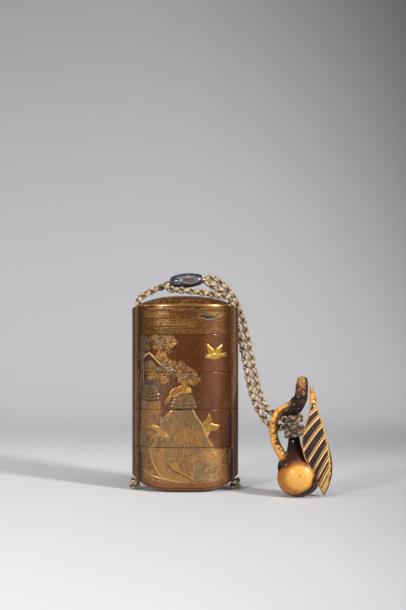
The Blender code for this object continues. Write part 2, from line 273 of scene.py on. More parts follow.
def braid(route, radius=1.68, pitch=BRAID_PITCH, phase=0.0, shade=1.0, deep=0.0, tint=(1.0, 1.0, 1.0)):
    """Four yarns plaited round each other along a route of (x, y, z, share of the radius)."""
    fine = smooth_route(route, 0.3)
    path, squeeze = fine[:, :3], fine[:, 3] if fine.shape[1] > 3 else np.ones(len(fine))
    step = np.linalg.norm(np.diff(path, axis=0), axis=1)
    s = np.concatenate([[0.0], np.cumsum(step)])
    _, side, up = frames_along(path)
    core, wave, yarn = 0.33 * radius, 0.25 * radius, 0.43 * radius
    verts, quads, tris, paint = [], [], [], []
    count = 0
    sides = 10
    for turn, start in ((1, 0.0), (1, math.pi), (-1, 0.0), (-1, math.pi)):
        theta = turn * 2 * math.pi * s / pitch + start + phase
        out = core + turn * wave * np.cos(2 * (theta - phase))
        centre = path + ((side * np.cos(theta)[:, None] + up * np.sin(theta)[:, None])
                         * (out * squeeze)[:, None])
        along, a, b = frames_along(centre)
        outward = side * np.cos(theta)[:, None] + up * np.sin(theta)[:, None]
        a = np.cross(along, outward)
        a /= np.linalg.norm(a, axis=1)[:, None]
        b = np.cross(along, a)
        # A yarn's end tucks in, so the lobes read as separate.
        swell = yarn * (1.0 + 0.10 * np.cos(2 * (theta - phase)) * turn)
        for k in range(sides):
            w = 2 * math.pi * k / sides
            verts.append(centre + (a * math.cos(w) * 1.22 * (swell * squeeze)[:, None]
                                   + b * math.sin(w) * 0.95 * (swell * squeeze)[:, None]))
        block = np.stack(verts[-sides:], 1).reshape(-1, 3)
        depth = np.linalg.norm(block - np.repeat(path, sides, 0), axis=1) / (radius * np.repeat(squeeze, sides))
        n = len(path)
        tone = fractal(np.repeat(s, sides) * 1.6 + start * 3 + turn, np.tile(np.arange(sides), n) * 0.9, 5, 3)
        fibre = noise2(np.repeat(s, sides) * 0.7 + np.tile(np.arange(sides), n) * 2.3, np.tile(np.arange(sides), n) * 1.0, 9)
        # Painted shade: each yarn fades to DARK nearer the cord's core, more so with a larger deep.
        lit = smoothstep(0.58 + deep, 0.95 + 0.5 * deep, depth + 0.10 * (tone - 0.5))[:, None]
        body = MID + (LIGHT - MID) * np.clip(1.9 * tone - 0.35, 0, 1)[:, None]
        body = body * (0.72 + 0.5 * fibre)[:, None]
        paint.append((DARK + (body - DARK) * lit) * shade * tint)
        base = count + np.arange(n - 1)[:, None] * sides + np.arange(sides)[None, :]
        nxt = count + np.arange(n - 1)[:, None] * sides + (np.arange(sides)[None, :] + 1) % sides
        quads.append(np.stack([base, nxt, nxt + sides, base + sides], 2).reshape(-1, 4))
        for row, flip in ((0, True), (n - 1, False)):
            ring = count + row * sides + np.arange(sides)
            fan = np.stack([np.full(sides - 2, ring[0]), ring[1:-1], ring[2:]], 1)
            tris.append(fan[:, ::-1] if flip else fan)
        verts = verts[:-sides] + [block]
        count += len(block)
    return np.concatenate(verts), np.concatenate(quads), np.concatenate(tris), np.concatenate(paint)


silk = painted("silk_braid", rough=0.72, metal=0.0, bump=0.5, bump_scale=3500.0, sheen=0.15)


def cord_piece(name, routes, **how):
    """One object of one or more plaited runs."""
    parts = [braid(route, **how) for route in routes]
    shift, verts, quads, tris, paint = 0, [], [], [], []
    for v, q, t, p in parts:
        verts.append(v)
        quads.append(q + shift)
        tris.append(t + shift)
        paint.append(p)
        shift += len(v)
    return build(name, np.concatenate(verts), np.concatenate(quads), np.concatenate(tris),
                 paint=np.concatenate(paint), material=silk)


HANG = [(25.2, 6.9, 75.6), (26.2, 6.0, 72.2), (27.4, 4.4, 66.9), (28.6, 1.6, 60.7),
        (29.7, -2.6, 54.5), (30.9, -7.6, 47.6), (32.6, -12.6, 41.6), (34.6, -16.8, 37.6)]
APART = 1.62


def hanging(side):
    shifted = []
    for i, (x, y, z) in enumerate(HANG):
        a = HANG[max(0, i - 1)]
        b = HANG[min(len(HANG) - 1, i + 1)]
        dx, dz = b[0] - a[0], b[2] - a[2]
        size = math.hypot(dx, dz)
        nx, nz = -dz / size, dx / size
        shifted.append((x + side * APART * nx, y, z + side * APART * nz, 1.0))
    return shifted


STRAND_LEFT = ([
    (-21.3, 0.0, 84.2, 1.0), (-21.2, 0.0, 85.8, 1.0), (-19.9, 0.0, 87.8, 1.0),
    (-17.6, 0.3, 89.1, 1.0), (-15.2, 0.6, 90.4, 1.0), (-12.4, 0.9, 91.6, 1.0),
    (-9.4, 1.3, 92.7, 0.95), (-6.6, 1.33, 93.9, 0.75), (-3.0, 1.35, 94.6, 0.77),
    (1.0, 1.35, 95.0, 0.77), (5.0, 1.35, 95.2, 0.77), (8.2, 1.4, 95.4, 0.77),
    (10.8, 1.9, 96.3, 1.0), (13.4, 2.6, 96.0, 1.0), (16.2, 3.2, 94.3, 1.0),
    (18.4, 3.9, 92.2, 1.0), (20.4, 5.4, 90.1, 1.0), (22.2, 7.1, 87.6, 1.0),
    (23.7, 8.8, 84.7, 1.0), (24.9, 9.7, 81.6, 1.0), (26.1, 9.1, 78.5, 1.0)]
    + hanging(1)
    + [(37.3, -18.9, 37.2, 1.0), (40.0, -20.1, 35.9, 1.0), (42.6, -21.3, 34.6, 1.0),
       (43.6, -23.4, 33.9, 1.0), (43.6, -25.4, 33.7, 1.0)])

STRAND_RIGHT = ([
    (21.3, 0.0, 84.2, 1.0), (21.3, 0.0, 85.6, 1.0), (21.1, -1.1, 87.0, 1.0),
    (19.6, -3.2, 87.7, 1.0), (17.3, -5.0, 87.7, 1.0), (14.3, -5.6, 88.4, 1.0),
    (10.8, -5.4, 89.2, 1.0), (7.0, -5.0, 89.8, 1.0), (3.0, -4.7, 90.3, 1.0),
    (-1.3, -4.5, 90.6, 1.0), (-4.6, -4.0, 90.9, 1.0), (-7.0, -3.3, 91.2, 1.0),
    (-8.5, -2.6, 92.3, 0.9), (-8.2, -1.8, 93.6, 0.85), (-6.3, -1.35, 93.9, 0.77),
    (-3.0, -1.35, 94.6, 0.77), (1.0, -1.35, 95.0, 0.77), (5.0, -1.35, 95.2, 0.77),
    (8.0, -1.4, 95.25, 0.77), (10.0, -1.2, 94.2, 1.0), (12.4, -0.9, 92.7, 1.0),
    (14.8, -0.4, 91.3, 1.0), (17.2, 0.5, 89.9, 1.0), (19.2, 2.0, 88.2, 1.0),
    (20.7, 4.0, 86.8, 1.0), (21.8, 6.3, 84.4, 1.0), (22.8, 6.6, 81.6, 1.0),
    (23.4, 6.4, 78.5, 1.0)]
    + hanging(-1)
    + [(35.9, -18.9, 32.6, 1.0), (38.6, -20.2, 30.9, 1.0), (41.6, -21.2, 30.2, 1.0),
       (43.5, -23.2, 30.3, 1.0), (43.6, -25.4, 30.5, 1.0)])


for name, route, phase in (("cord_free_left", STRAND_LEFT, 0.4), ("cord_free_right", STRAND_RIGHT, 1.3)):
    piece = cord_piece(f"strand_{name[10:]}", [route], phase=phase)
    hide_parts(name)
    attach(piece, BODY)

CHANNEL_X = 21.3
for side, label in ((-1, "left"), (1, "right")):
    x = side * CHANNEL_X
    piece = cord_piece(f"held_{label}", [[(x, 0, 5.4, 1.0), (x, 0, 30.0, 1.0), (x, 0, 57.0, 1.0), (x, 0, 83.8, 1.0)]],
                       radius=1.4)
    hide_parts(f"cord_held_{label}")
    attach(piece, BODY)


def wrap(centre, half_x, half_y, tilt_x, tilt_y, start=0.0, turns=1.0, squeeze=0.95):
    """One turn of a knot: an ellipse about the vertical, tilted."""
    route = []
    count = 16
    for k in range(count + 1):
        t = start + 2 * math.pi * turns * k / count
        x, y = half_x * math.cos(t), half_y * math.sin(t)
        route.append((centre[0] + x, centre[1] + y, centre[2] + x * tilt_x + y * tilt_y, squeeze))
    return route


knot_end = cord_piece("end_knot", [
    wrap((47.8, -29.8, 34.5), 2.7, 1.8, 0.18, 0.10, 0.4, 0.98, 0.95),
    wrap((47.7, -30.0, 31.3), 2.9, 1.9, -0.14, 0.05, 1.7, 0.98, 0.93),
    wrap((47.2, -29.8, 28.3), 2.9, 1.8, 0.16, -0.06, 2.9, 0.98, 0.95),
    [(45.6, -27.4, 32.8, 0.8), (47.0, -30.6, 33.4, 0.8), (49.6, -31.2, 30.4, 0.8), (50.6, -28.6, 28.6, 0.8)],
], radius=1.75, pitch=9.0, shade=0.44, deep=0.10, tint=(1.0, 0.86, 0.70))
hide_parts("knot_end")
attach(knot_end, BODY)

for side, label in ((-1, "left"), (1, "right")):
    x = side * 22.9
    knot = cord_piece(f"foot_knot_{label}", [
        wrap((x, 0.0, 3.9), 1.3, 1.6, 0.22 * side, 0.05, 0.3, 0.98, 0.9),
        wrap((x, 0.0, 1.85), 1.4, 1.7, -0.15 * side, -0.05, 1.9, 0.98, 0.9),
        [(x - side * 1.6, -0.8, 4.5, 0.75), (x - side * 0.2, -2.3, 3.1, 0.75), (x + side * 1.4, -1.6, 1.8, 0.75)],
    ], radius=1.40, pitch=8.0, shade=0.85, deep=0.04)
    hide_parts(f"knot_bottom_{label}")
    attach(knot, BODY)


# ------------------------------------------------------------------ plan of the tiers
HALF_W, HALF_T, LENS_N = 21.6, 12.0, 2.3
SEAMS = (20.2, 37.1, 54.0, 70.9)
SHOULDER, DOME = 84.0, 4.3
RISER_H, FLOOR = 4.0, 1.6
RECESS, RISER, CAVITY = (18.3, 10.6), (18.0, 10.3), (16.8, 9.1)
GROOVE_X, RUNNER_OUT, RUNNER_T = 20.85, 24.4, 4.4
SEAM_HALF = 0.04
FINE = 0.17
COARSE = 0.42


def super_xy(a, b, n, t):
    c, s = np.cos(t), np.sin(t)
    return (a * np.sign(c) * np.abs(c) ** (2 / n), b * np.sign(s) * np.abs(s) ** (2 / n))


PANEL_START = 0.405


def quarter_curve():
    t = np.radians(np.linspace(0, 84, 60))
    x, y = super_xy(RUNNER_OUT - 21.2, RUNNER_T, 2.6, t)
    runner = np.stack([x + 21.2, y], 1)
    panel_t = np.linspace(PANEL_START, math.pi / 2, 160)
    px, py = super_xy(HALF_W, HALF_T, LENS_N, panel_t)
    panel = np.stack([px, py], 1)
    # A round-bottomed groove between the runner and the panel.
    a, b = runner[-1], panel[0]
    notch = []
    for k in range(1, 8):
        w = k / 8
        mid = a * (1 - w) + b * w
        notch.append(mid - np.array([0.25, 1.0]) * 0.42 * math.sin(math.pi * w))
    curve = np.concatenate([runner, np.array(notch), panel])
    before = np.linspace(0, PANEL_START, len(runner) + len(notch) + 1)[:-1]
    return curve, np.concatenate([before, panel_t])


def plan():
    """Points round the outline with the lens angle of each and its outward normal."""
    quarter, angle = quarter_curve()
    rows = []
    for sx, sy, flip in ((1, 1, False), (-1, 1, True), (-1, -1, False), (1, -1, True)):
        part = quarter * [sx, sy]
        share = angle
        if flip:
            part, share = part[::-1], share[::-1]
        rows.append(np.column_stack([part[:-1], share[:-1], np.full(len(part) - 1, sx), np.full(len(part) - 1, sy)]))
    loop = np.concatenate(rows)
    closed = np.concatenate([loop, loop[:1]])
    run = np.concatenate([[0], np.cumsum(np.linalg.norm(np.diff(closed[:, :2], axis=0), axis=1))])
    half = run[-1] / 2
    back = np.linspace(0, half, int(half / COARSE) + 1)[:-1]
    front = np.linspace(half, run[-1], int(half / FINE) + 1)[:-1]
    want = np.concatenate([back, front])
    xy = np.stack([np.interp(want, run, closed[:, k]) for k in (0, 1)], 1)
    share = np.interp(want, run, closed[:, 2])
    tangent = np.roll(xy, -1, 0) - np.roll(xy, 1, 0)
    normal = np.stack([tangent[:, 1], -tangent[:, 0]], 1)
    normal /= np.linalg.norm(normal, axis=1)[:, None]
    sx = np.where(xy[:, 0] >= 0, 1.0, -1.0)
    sy = np.where(want < half, 1.0, -1.0)
    return xy, share, normal, sx, sy


XY, SHARE, NORMAL, SX, SY = plan()
COUNT = len(XY)


def inner(a, b):
    x, y = super_xy(a, b, LENS_N, SHARE)
    return np.stack([x * SX, y * SY], 1)


def lens_radius(x, y):
    return (np.abs(x / HALF_W) ** LENS_N + np.abs(y / HALF_T) ** LENS_N) ** (1 / LENS_N)


def dome_z(xy):
    r = np.clip(lens_radius(xy[:, 0], xy[:, 1]), 0, 1)
    return SHOULDER + 0.12 + (DOME - 0.14) * (1 - r ** 2.65)


def base_rise(x):
    return 3.2 * (np.maximum(0.0, np.abs(x) - 9.0) / 12.6) ** 1.7


# ------------------------------------------------------------------ painting
GOLD = rgb(222, 172, 82)
BRIGHT = rgb(246, 212, 112)
PALE = rgb(232, 196, 138)
ORANGE = rgb(196, 120, 48)
COPPER = rgb(150, 82, 36)
SILVER = rgb(150, 140, 130)
INK = rgb(48, 26, 14)
BROWN = rgb(92, 54, 28)


class Canvas:
    """Colour, finish and relief over points (x, z) of one side of the tiers, in mm."""

    def __init__(self, x, z):
        self.x, self.z = x, z
        n = len(x)
        self.col = np.zeros((n, 3))
        self.metal = np.zeros(n)
        self.rough = np.full(n, 0.3)
        self.h = np.zeros(n)

    def pick(self, x0, z0, x1, z1, pad=0.6):
        return np.nonzero((self.x > x0 - pad) & (self.x < x1 + pad) & (self.z > z0 - pad) & (self.z < z1 + pad))[0]

    def lay(self, idx, cover, colour, metal=None, rough=None, lift=0.0, replace=False):
        c = np.asarray(cover)[:, None]
        self.col[idx] = self.col[idx] * (1 - c) + np.asarray(colour) * c
        if metal is not None:
            self.metal[idx] = self.metal[idx] * (1 - c[:, 0]) + metal * c[:, 0]
        if rough is not None:
            self.rough[idx] = self.rough[idx] * (1 - c[:, 0]) + rough * c[:, 0]
        if np.any(lift):
            self.h[idx] = np.maximum(self.h[idx] * (1 - 0.6 * c[:, 0]), 0) + lift * c[:, 0] if replace else self.h[idx] + lift * c[:, 0]

    def away_poly(self, idx, poly):
        """Distance to a closed outline, negative inside."""
        px, pz = self.x[idx], self.z[idx]
        best = np.full(len(idx), 1e9)
        sign = np.ones(len(idx))
        n = len(poly)
        for i in range(n):
            ax, az = poly[i]
            bx, bz = poly[(i + 1) % n]
            ex, ez = bx - ax, bz - az
            wx, wz = px - ax, pz - az
            t = np.clip((wx * ex + wz * ez) / max(ex * ex + ez * ez, 1e-12), 0, 1)
            dx, dz = wx - ex * t, wz - ez * t
            best = np.minimum(best, dx * dx + dz * dz)
            c1, c2, c3 = pz >= az, pz < bz, ex * wz > ez * wx
            turn = (c1 & c2 & c3) | (~c1 & ~c2 & ~c3)
            sign = np.where(turn, -sign, sign)
        return sign * np.sqrt(best)

    def shape(self, points, colour, lift=0.1, soft=0.14, round_off=0.5, metal=0.35, rough=0.32, alpha=1.0,
              rim=None, rim_width=0.35, feather=None, curve=True):
        poly = catmull(points, 6, closed=True) if curve else np.asarray(points, float)
        idx = self.pick(poly[:, 0].min(), poly[:, 1].min(), poly[:, 0].max(), poly[:, 1].max())
        if not len(idx):
            return
        d = self.away_poly(idx, poly)
        cover = smoothstep(soft / 2, -soft / 2, d) * alpha
        body = np.broadcast_to(np.asarray(colour, float), (len(idx), 3)).copy()
        if feather is not None:
            angle, spacing, dark, depth = feather
            along = self.x[idx] * math.cos(angle) + self.z[idx] * math.sin(angle)
            across = -self.x[idx] * math.sin(angle) + self.z[idx] * math.cos(angle)
            wave = 0.5 + 0.5 * np.cos(2 * math.pi * (across / spacing + 0.25 * noise2(along * 1.2, across * 0.6, 3)))
            mask = smoothstep(0.35, 0.05, wave)
            body = body * (1 - mask[:, None] * depth) + np.asarray(dark) * mask[:, None] * depth
        if rim is not None:
            edge = smoothstep(-rim_width, -rim_width * 0.3, d)
            body = body * (1 - edge[:, None]) + np.asarray(rim) * edge[:, None]
        grain = 0.86 + 0.28 * noise2(self.x[idx] * 4.2, self.z[idx] * 4.2, 21)
        self.lay(idx, cover, body * grain[:, None], metal, rough,
                 lift * smoothstep(0.05, -round_off, d), replace=False)

    def stroke(self, points, width, colour, lift=0.06, alpha=1.0, metal=0.35, rough=0.34, soft=0.12, taper=True, broken=0.0):
        line = catmull(points, 6)
        pad = width
        idx = self.pick(line[:, 0].min(), line[:, 1].min(), line[:, 0].max(), line[:, 1].max(), pad + 0.2)
        if not len(idx):
            return
        px, pz = self.x[idx], self.z[idx]
        best = np.full(len(idx), 1e9)
        where = np.zeros(len(idx))
        n = len(line) - 1
        for i in range(n):
            ax, az = line[i]
            ex, ez = line[i + 1] - line[i]
            wx, wz = px - ax, pz - az
            t = np.clip((wx * ex + wz * ez) / max(ex * ex + ez * ez, 1e-12), 0, 1)
            d2 = (wx - ex * t) ** 2 + (wz - ez * t) ** 2
            near = d2 < best
            best = np.where(near, d2, best)
            where = np.where(near, (i + t) / n, where)
        half = width / 2 * (np.sqrt(np.clip(np.sin(math.pi * (0.06 + 0.88 * where)), 0.02, 1)) if taper else 1.0)
        d = np.sqrt(best) - half
        cover = smoothstep(soft / 2, -soft / 2, d) * alpha
        if broken:
            cover = cover * (1 - broken * smoothstep(0.45, 0.6, noise2(px * 1.7 + 40, pz * 1.7, 33)))
        self.lay(idx, cover, colour, metal, rough, lift * smoothstep(0.02, -width * 0.4, d))

    def leaf(self, cx, cz, r, turn, fill, rim, lobes=5):
        idx = self.pick(cx - r, cz - r, cx + r, cz + r, 0.15)
        if not len(idx):
            return
        dx, dz = self.x[idx] - cx, self.z[idx] - cz
        rho = np.hypot(dx, dz)
        ray = np.abs(np.cos(lobes / 2 * (np.arctan2(dz, dx) - turn)))
        reach = r * (0.30 + 0.70 * ray ** 2.6)
        t = rho / reach
        cover = smoothstep(1.10, 0.86, t)
        tipward = smoothstep(0.15, 0.8, rho / r)[:, None]
        body = np.asarray(fill) * (1 - tipward) + np.asarray(rim) * tipward
        vein = smoothstep(0.985, 1.0, ray)[:, None] * smoothstep(0.2, 0.5, rho / r)[:, None]
        body = body * (1 - 0.25 * vein)
        self.h[idx] *= 1 - 0.4 * cover
        self.lay(idx, cover, body, 0.30, 0.34, 0.13 * cover)

    def foliage(self, ellipses, count, seed, size=(0.75, 1.25), tones=None):
        rng = np.random.default_rng(seed)
        tones = tones or ((rgb(186, 118, 48), rgb(232, 176, 92)), (rgb(152, 88, 40), rgb(208, 142, 76)),
                          (rgb(140, 92, 44), rgb(210, 160, 88)), (rgb(170, 118, 66), rgb(234, 196, 132)),
                          (rgb(176, 104, 34), rgb(240, 190, 84)), (rgb(120, 92, 78), rgb(176, 146, 118)))
        for ex, ez, ea, eb in ellipses:
            ring = [(ex + ea * 1.05 * math.cos(t) * (0.85 + 0.3 * rng.random()), ez + eb * 1.05 * math.sin(t) * (0.85 + 0.3 * rng.random()))
                    for t in np.linspace(0, 2 * math.pi, 13)[:-1]]
            self.shape(ring, rgb(58, 30, 14), lift=0.0, alpha=0.65, soft=0.9, metal=0.1)
        placed = []
        tries = 0
        while len(placed) < count and tries < count * 40:
            tries += 1
            ex, ez, ea, eb = ellipses[rng.integers(len(ellipses))]
            t, q = rng.random() * 2 * math.pi, math.sqrt(rng.random())
            x, z = ex + ea * q * math.cos(t), ez + eb * q * math.sin(t)
            r = rng.uniform(*size)
            if any((x - a) ** 2 + (z - b) ** 2 < (0.5 * (r + c)) ** 2 for a, b, c in placed):
                continue
            placed.append((x, z, r))
            fill, rim = tones[rng.integers(len(tones))]
            shade = rng.uniform(0.36, 1.0) * np.array([0.96, 0.97, 0.88])
            self.leaf(x, z, r, rng.uniform(0, math.pi), fill * shade, rim * shade, int(rng.integers(4, 7)))


def ground(c, lid_part=None):
    """The lacquer itself, sprinkled with gold powder; the denser powder towards the foot is laid by the pictures."""
    x, z = c.x, c.z
    fine = noise2(x * 6.0, z * 6.0, 1)
    mid = fractal(x * 0.9, z * 0.9, 2, 3)
    wide = fractal(x * 0.16 + 5, z * 0.10, 4, 2)
    base = rgb(86, 46, 12) * (0.80 + 0.42 * mid)[:, None]
    warm = rgb(112, 62, 34)
    base = base + (warm - base) * (0.45 * smoothstep(0.35, 0.8, wide) + 0.35 * smoothstep(4.0, 12.0, x))[:, None]
    # Painted shade: darker towards the sides, where the front turns away.
    edge = smoothstep(15.5, 20.5, np.abs(x))
    base = base * (1 - 0.28 * edge)[:, None]
    # Streaks that run across, as in a rubbed ground.
    streak = fractal(x * 0.35, z * 3.0, 8, 3)
    base = base * (0.86 + 0.30 * streak)[:, None]
    speck = smoothstep(0.72, 0.9, fine)
    base = base + (rgb(170, 108, 50) - base) * (0.30 * speck)[:, None]
    c.col[:] = base
    c.metal[:] = 0.42 + 0.15 * speck
    c.rough[:] = 0.33


def mist(c, x0, z0, x1, z1, colour, dark, seed, strength=0.9, flecks=0.5):
    """A drifting band of dense powder with a ragged lower edge."""
    idx = c.pick(x0, z0, x1, z1, 0.2)
    if not len(idx):
        return
    x, z = c.x[idx], c.z[idx]
    u = (x - x0) / (x1 - x0)
    ends = smoothstep(0.0, 0.13, u) * smoothstep(1.0, 0.87, u)
    low = z0 + 0.55 * (z1 - z0) * (fractal(x * 0.45, x * 0 + seed, seed, 3)) * 0.9
    body = smoothstep(low, low + 0.25, z) * smoothstep(z1, z1 - 0.5 * (z1 - z0), z) * ends
    grain = fractal(x * 1.9, z * 2.8, seed + 5, 3)
    mask = body * np.clip(strength * smoothstep(0.30, 0.55, grain) + 0.25, 0, 1)
    tone = smoothstep(0.35, 0.7, fractal(x * 1.3 + 9, z * 2.2, seed + 11, 2))[:, None]
    c.lay(idx, mask, np.asarray(dark) * (1 - tone) + np.asarray(colour) * tone, 0.4, 0.33, 0.05)
    edge = np.exp(-((z - low) / 0.16) ** 2) * ends
    c.lay(idx, edge * 0.8 * smoothstep(0.3, 0.6, grain + 0.1), colour, 0.4, 0.3, 0.06)


def front_lid(c):
    x, z = c.x, c.z
    base = rgb(138, 88, 40) * (0.80 + 0.42 * fractal(x * 0.22, z * 1.9, 31, 3))[:, None]
    red = smoothstep(0.5, 0.75, fractal(x * 0.12 + 3, z * 0.9, 32, 2))[:, None]
    base = base * (1 - 0.5 * red) + rgb(120, 62, 36) * 0.5 * red
    speck = smoothstep(0.68, 0.9, noise2(x * 5.5, z * 5.5, 33))[:, None]
    base = base + (rgb(206, 150, 78) - base) * 0.6 * speck
    # Painted shade: darker towards the sides, where the front turns away.
    edge = smoothstep(16.5, 20.6, np.abs(x))[:, None]
    c.col[:] = base * (1 - 0.42 * edge)
    c.metal[:] = 0.35
    c.rough[:] = 0.29
    gold, deep = rgb(212, 160, 86), rgb(98, 56, 26)
    mist(c, -18.5, 81.4, 3.6, 83.4, rgb(196, 140, 90), rgb(120, 66, 40), 41, 0.7)
    mist(c, -19.0, 77.9, -6.0, 81.2, gold, rgb(120, 80, 34), 42, 1.0)
    mist(c, 2.5, 81.6, 18.5, 83.5, rgb(176, 134, 76), rgb(84, 72, 44), 43, 0.8)
    mist(c, 3.0, 78.0, 19.0, 80.9, rgb(204, 160, 90), rgb(110, 76, 44), 44, 0.9)
    mist(c, -15.8, 74.2, 6.0, 77.9, rgb(206, 158, 84), rgb(112, 74, 40), 45, 1.0)
    mist(c, -13.0, 71.2, 8.0, 74.4, rgb(168, 126, 76), rgb(96, 60, 36), 46, 0.7)
    mist(c, 8.0, 71.6, 19.5, 73.6, rgb(176, 118, 66), rgb(128, 76, 40), 47, 0.5)
    # Wavy lines that edge the bands.
    wave = np.random.default_rng(15)
    for x0, x1, level, light in ((-18.2, -7.0, 80.7, 1), (-18.4, -6.4, 79.8, 1), (-18.0, -8.0, 78.7, 1), (-13.8, 4.6, 77.4, 1), (-14.6, 5.2, 76.4, 1),
                                 (-12.4, 3.4, 75.2, 1), (-10.6, 2.0, 73.9, 1), (-8.4, 4.0, 72.7, 1), (4.0, 18.2, 78.1, 1), (8.6, 18.8, 80.4, 1),
                                 (-2.0, 9.0, 82.4, 1), (-16.0, -3.0, 82.5, 1)):
        span = np.arange(x0, x1, 0.42)
        bob = 0.22 * np.sin(span * 2 * math.pi / 1.7 + wave.uniform(0, 6)) + 0.14 * np.sin(span * 2 * math.pi / 4.9 + wave.uniform(0, 6))
        c.stroke([(px, level - 0.30 + dz) for px, dz in zip(span, bob)], 0.26, rgb(74, 44, 20), 0.0, alpha=0.75, broken=0.35)
        c.stroke([(px, level + dz) for px, dz in zip(span, bob)], 0.24, rgb(226, 180, 106), 0.05, alpha=0.85, broken=0.3, metal=0.4)
    # Dark inlaid patches with a pale lower rim, and scattered flakes.
    for pts, tone, rim in (
        ([(6.2, 79.0), (8.2, 79.7), (10.4, 79.4), (12.6, 79.3), (14.0, 78.7), (12.8, 78.0), (10.4, 77.9), (8.2, 78.4)],
         rgb(46, 46, 52), rgb(146, 138, 128)),
        ([(2.6, 79.6), (4.6, 79.9), (6.2, 79.5), (5.2, 79.0), (3.4, 78.9)], rgb(66, 56, 52), rgb(134, 116, 98)),
        ([(3.2, 83.0), (5.6, 83.1), (7.8, 82.8), (6.4, 82.2), (4.2, 82.2)], rgb(58, 50, 30), rgb(110, 90, 52)),
        ([(-0.4, 82.7), (1.6, 82.9), (2.8, 82.5), (1.2, 82.2)], rgb(74, 30, 16), rgb(120, 60, 40)),
    ):
        c.shape(pts, tone, lift=0.05, metal=0.3, rough=0.3, rim=rim, rim_width=0.22, soft=0.3)
    c.stroke([(7.2, 78.2), (9.5, 77.6), (11.5, 77.5), (13.4, 77.9)], 0.42, rgb(168, 156, 142), 0.05)
    rng = np.random.default_rng(5)
    for _ in range(150):
        cx, cz = rng.uniform(-18, 18), rng.uniform(71.6, 83.2)
        tone = (gold, rgb(232, 186, 110), deep, rgb(92, 40, 26))[int(rng.integers(4))]
        r = rng.uniform(0.14, 0.34)
        c.shape([(cx - r * 1.5, cz), (cx, cz + r * 0.6), (cx + r * 1.5, cz + 0.05), (cx, cz - r * 0.6)], tone,
                lift=0.02, alpha=0.75, soft=0.16, metal=0.4)
    for level in (83.2, 81.2, 77.7, 76.1, 73.9, 72.3):
        c.stroke([(-19.0, level), (-8.0, level + 0.15), (3.0, level - 0.1), (12.0, level + 0.1), (19.5, level)], 0.16,
                 rgb(96, 46, 24), 0.0, alpha=0.6, broken=0.9, taper=False)


def stack_cap(c, cx, z0, z1, half, tone, dark, rim, seed=0):
    """The bound head of a rick: rows of rounded straw tufts under a loose crown."""
    rng = np.random.default_rng(900 + seed)
    tall = z1 - z0
    c.shape([(cx - half * 0.95, z0 + 0.2), (cx - half * 1.04, z0 + 0.25 * tall), (cx - half * 0.88, z0 + 0.62 * tall),
             (cx - half * 0.5, z1 - 0.3), (cx, z1), (cx + half * 0.5, z1 - 0.3), (cx + half * 0.88, z0 + 0.62 * tall),
             (cx + half * 1.04, z0 + 0.25 * tall), (cx + half * 0.95, z0 + 0.2)], tone * 0.75, lift=0.14, round_off=1.2, soft=0.25)
    outline = catmull([(cx - half * 0.95, z0 + 0.2), (cx - half * 1.04, z0 + 0.25 * tall), (cx - half * 0.88, z0 + 0.62 * tall),
                       (cx - half * 0.5, z1 - 0.3), (cx, z1), (cx + half * 0.5, z1 - 0.3), (cx + half * 0.88, z0 + 0.62 * tall),
                       (cx + half * 1.04, z0 + 0.25 * tall), (cx + half * 0.95, z0 + 0.2)], 6, closed=True)
    idx = c.pick(cx - half * 1.1, z0 - 0.5, cx + half * 1.1, z1 + 0.5)
    if not len(idx):
        return
    inside = smoothstep(0.1, -0.3, c.away_poly(idx, outline))
    straw = fractal((c.x[idx] - cx) * 2.1, c.z[idx] * 0.7, 931 + seed, 3)
    c.lay(idx, 0.55 * inside * smoothstep(0.52, 0.70, straw), rim, None, None, 0.03)
    c.lay(idx, 0.55 * inside * smoothstep(0.46, 0.30, straw), dark, None, None, -0.02)
    for dx, level, r, h in ((-0.52, 0.70, 0.34, 0.15), (-0.06, 0.80, 0.42, 0.17), (0.44, 0.70, 0.36, 0.16), (0.06, 0.60, 0.30, 0.11),
                            (-0.66, 0.52, 0.28, 0.10), (0.68, 0.52, 0.28, 0.11)):
        lean = rng.uniform(-0.5, 0.5)
        pts = [(cx + half * (dx + r * math.cos(t) * rng.uniform(0.85, 1.15)) + lean * math.sin(t),
                z0 + tall * (level + h * math.sin(t) * rng.uniform(0.85, 1.15))) for t in np.linspace(0, 2 * math.pi, 10)[:-1]]
        shade = rng.uniform(0.80, 1.08)
        c.shape(pts, tone * shade, lift=0.10, alpha=0.75, round_off=0.8, rim=rim * shade * 0.9, rim_width=0.22,
                feather=(math.radians(90 + 30 * lean), 0.5, dark, 0.7))
    for level, wide, sag in ((0.38, 0.11, 0.6), (0.15, 0.10, 0.35)):
        row = [(cx + half * 1.0 * t, z0 + tall * level - sag * (1 - t * t) + rng.uniform(-0.12, 0.12)) for t in np.linspace(-1, 1, 8)]
        c.stroke([(px, pz - tall * wide * 0.75) for px, pz in row], 0.40, dark, -0.03, alpha=0.8)
        c.stroke(row, tall * wide, tone * 1.10, 0.12, taper=False, alpha=0.85)
        c.stroke([(px, pz + tall * wide * 0.32) for px, pz in row], 0.26, rim, 0.03, alpha=0.75, broken=0.3)
        for k in range(10):
            t = -0.92 + 0.2 * k + rng.uniform(-0.05, 0.05)
            pz = z0 + tall * level - sag * (1 - t * t)
            c.stroke([(cx + half * t, pz - 0.42), (cx + half * t + 0.18, pz + 0.40)], 0.20, dark, -0.02, alpha=0.65)
    c.stroke([(cx - half * 0.95, z0 + 0.28), (cx, z0 - 0.05), (cx + half * 0.95, z0 + 0.3)], 0.34, dark, -0.02)


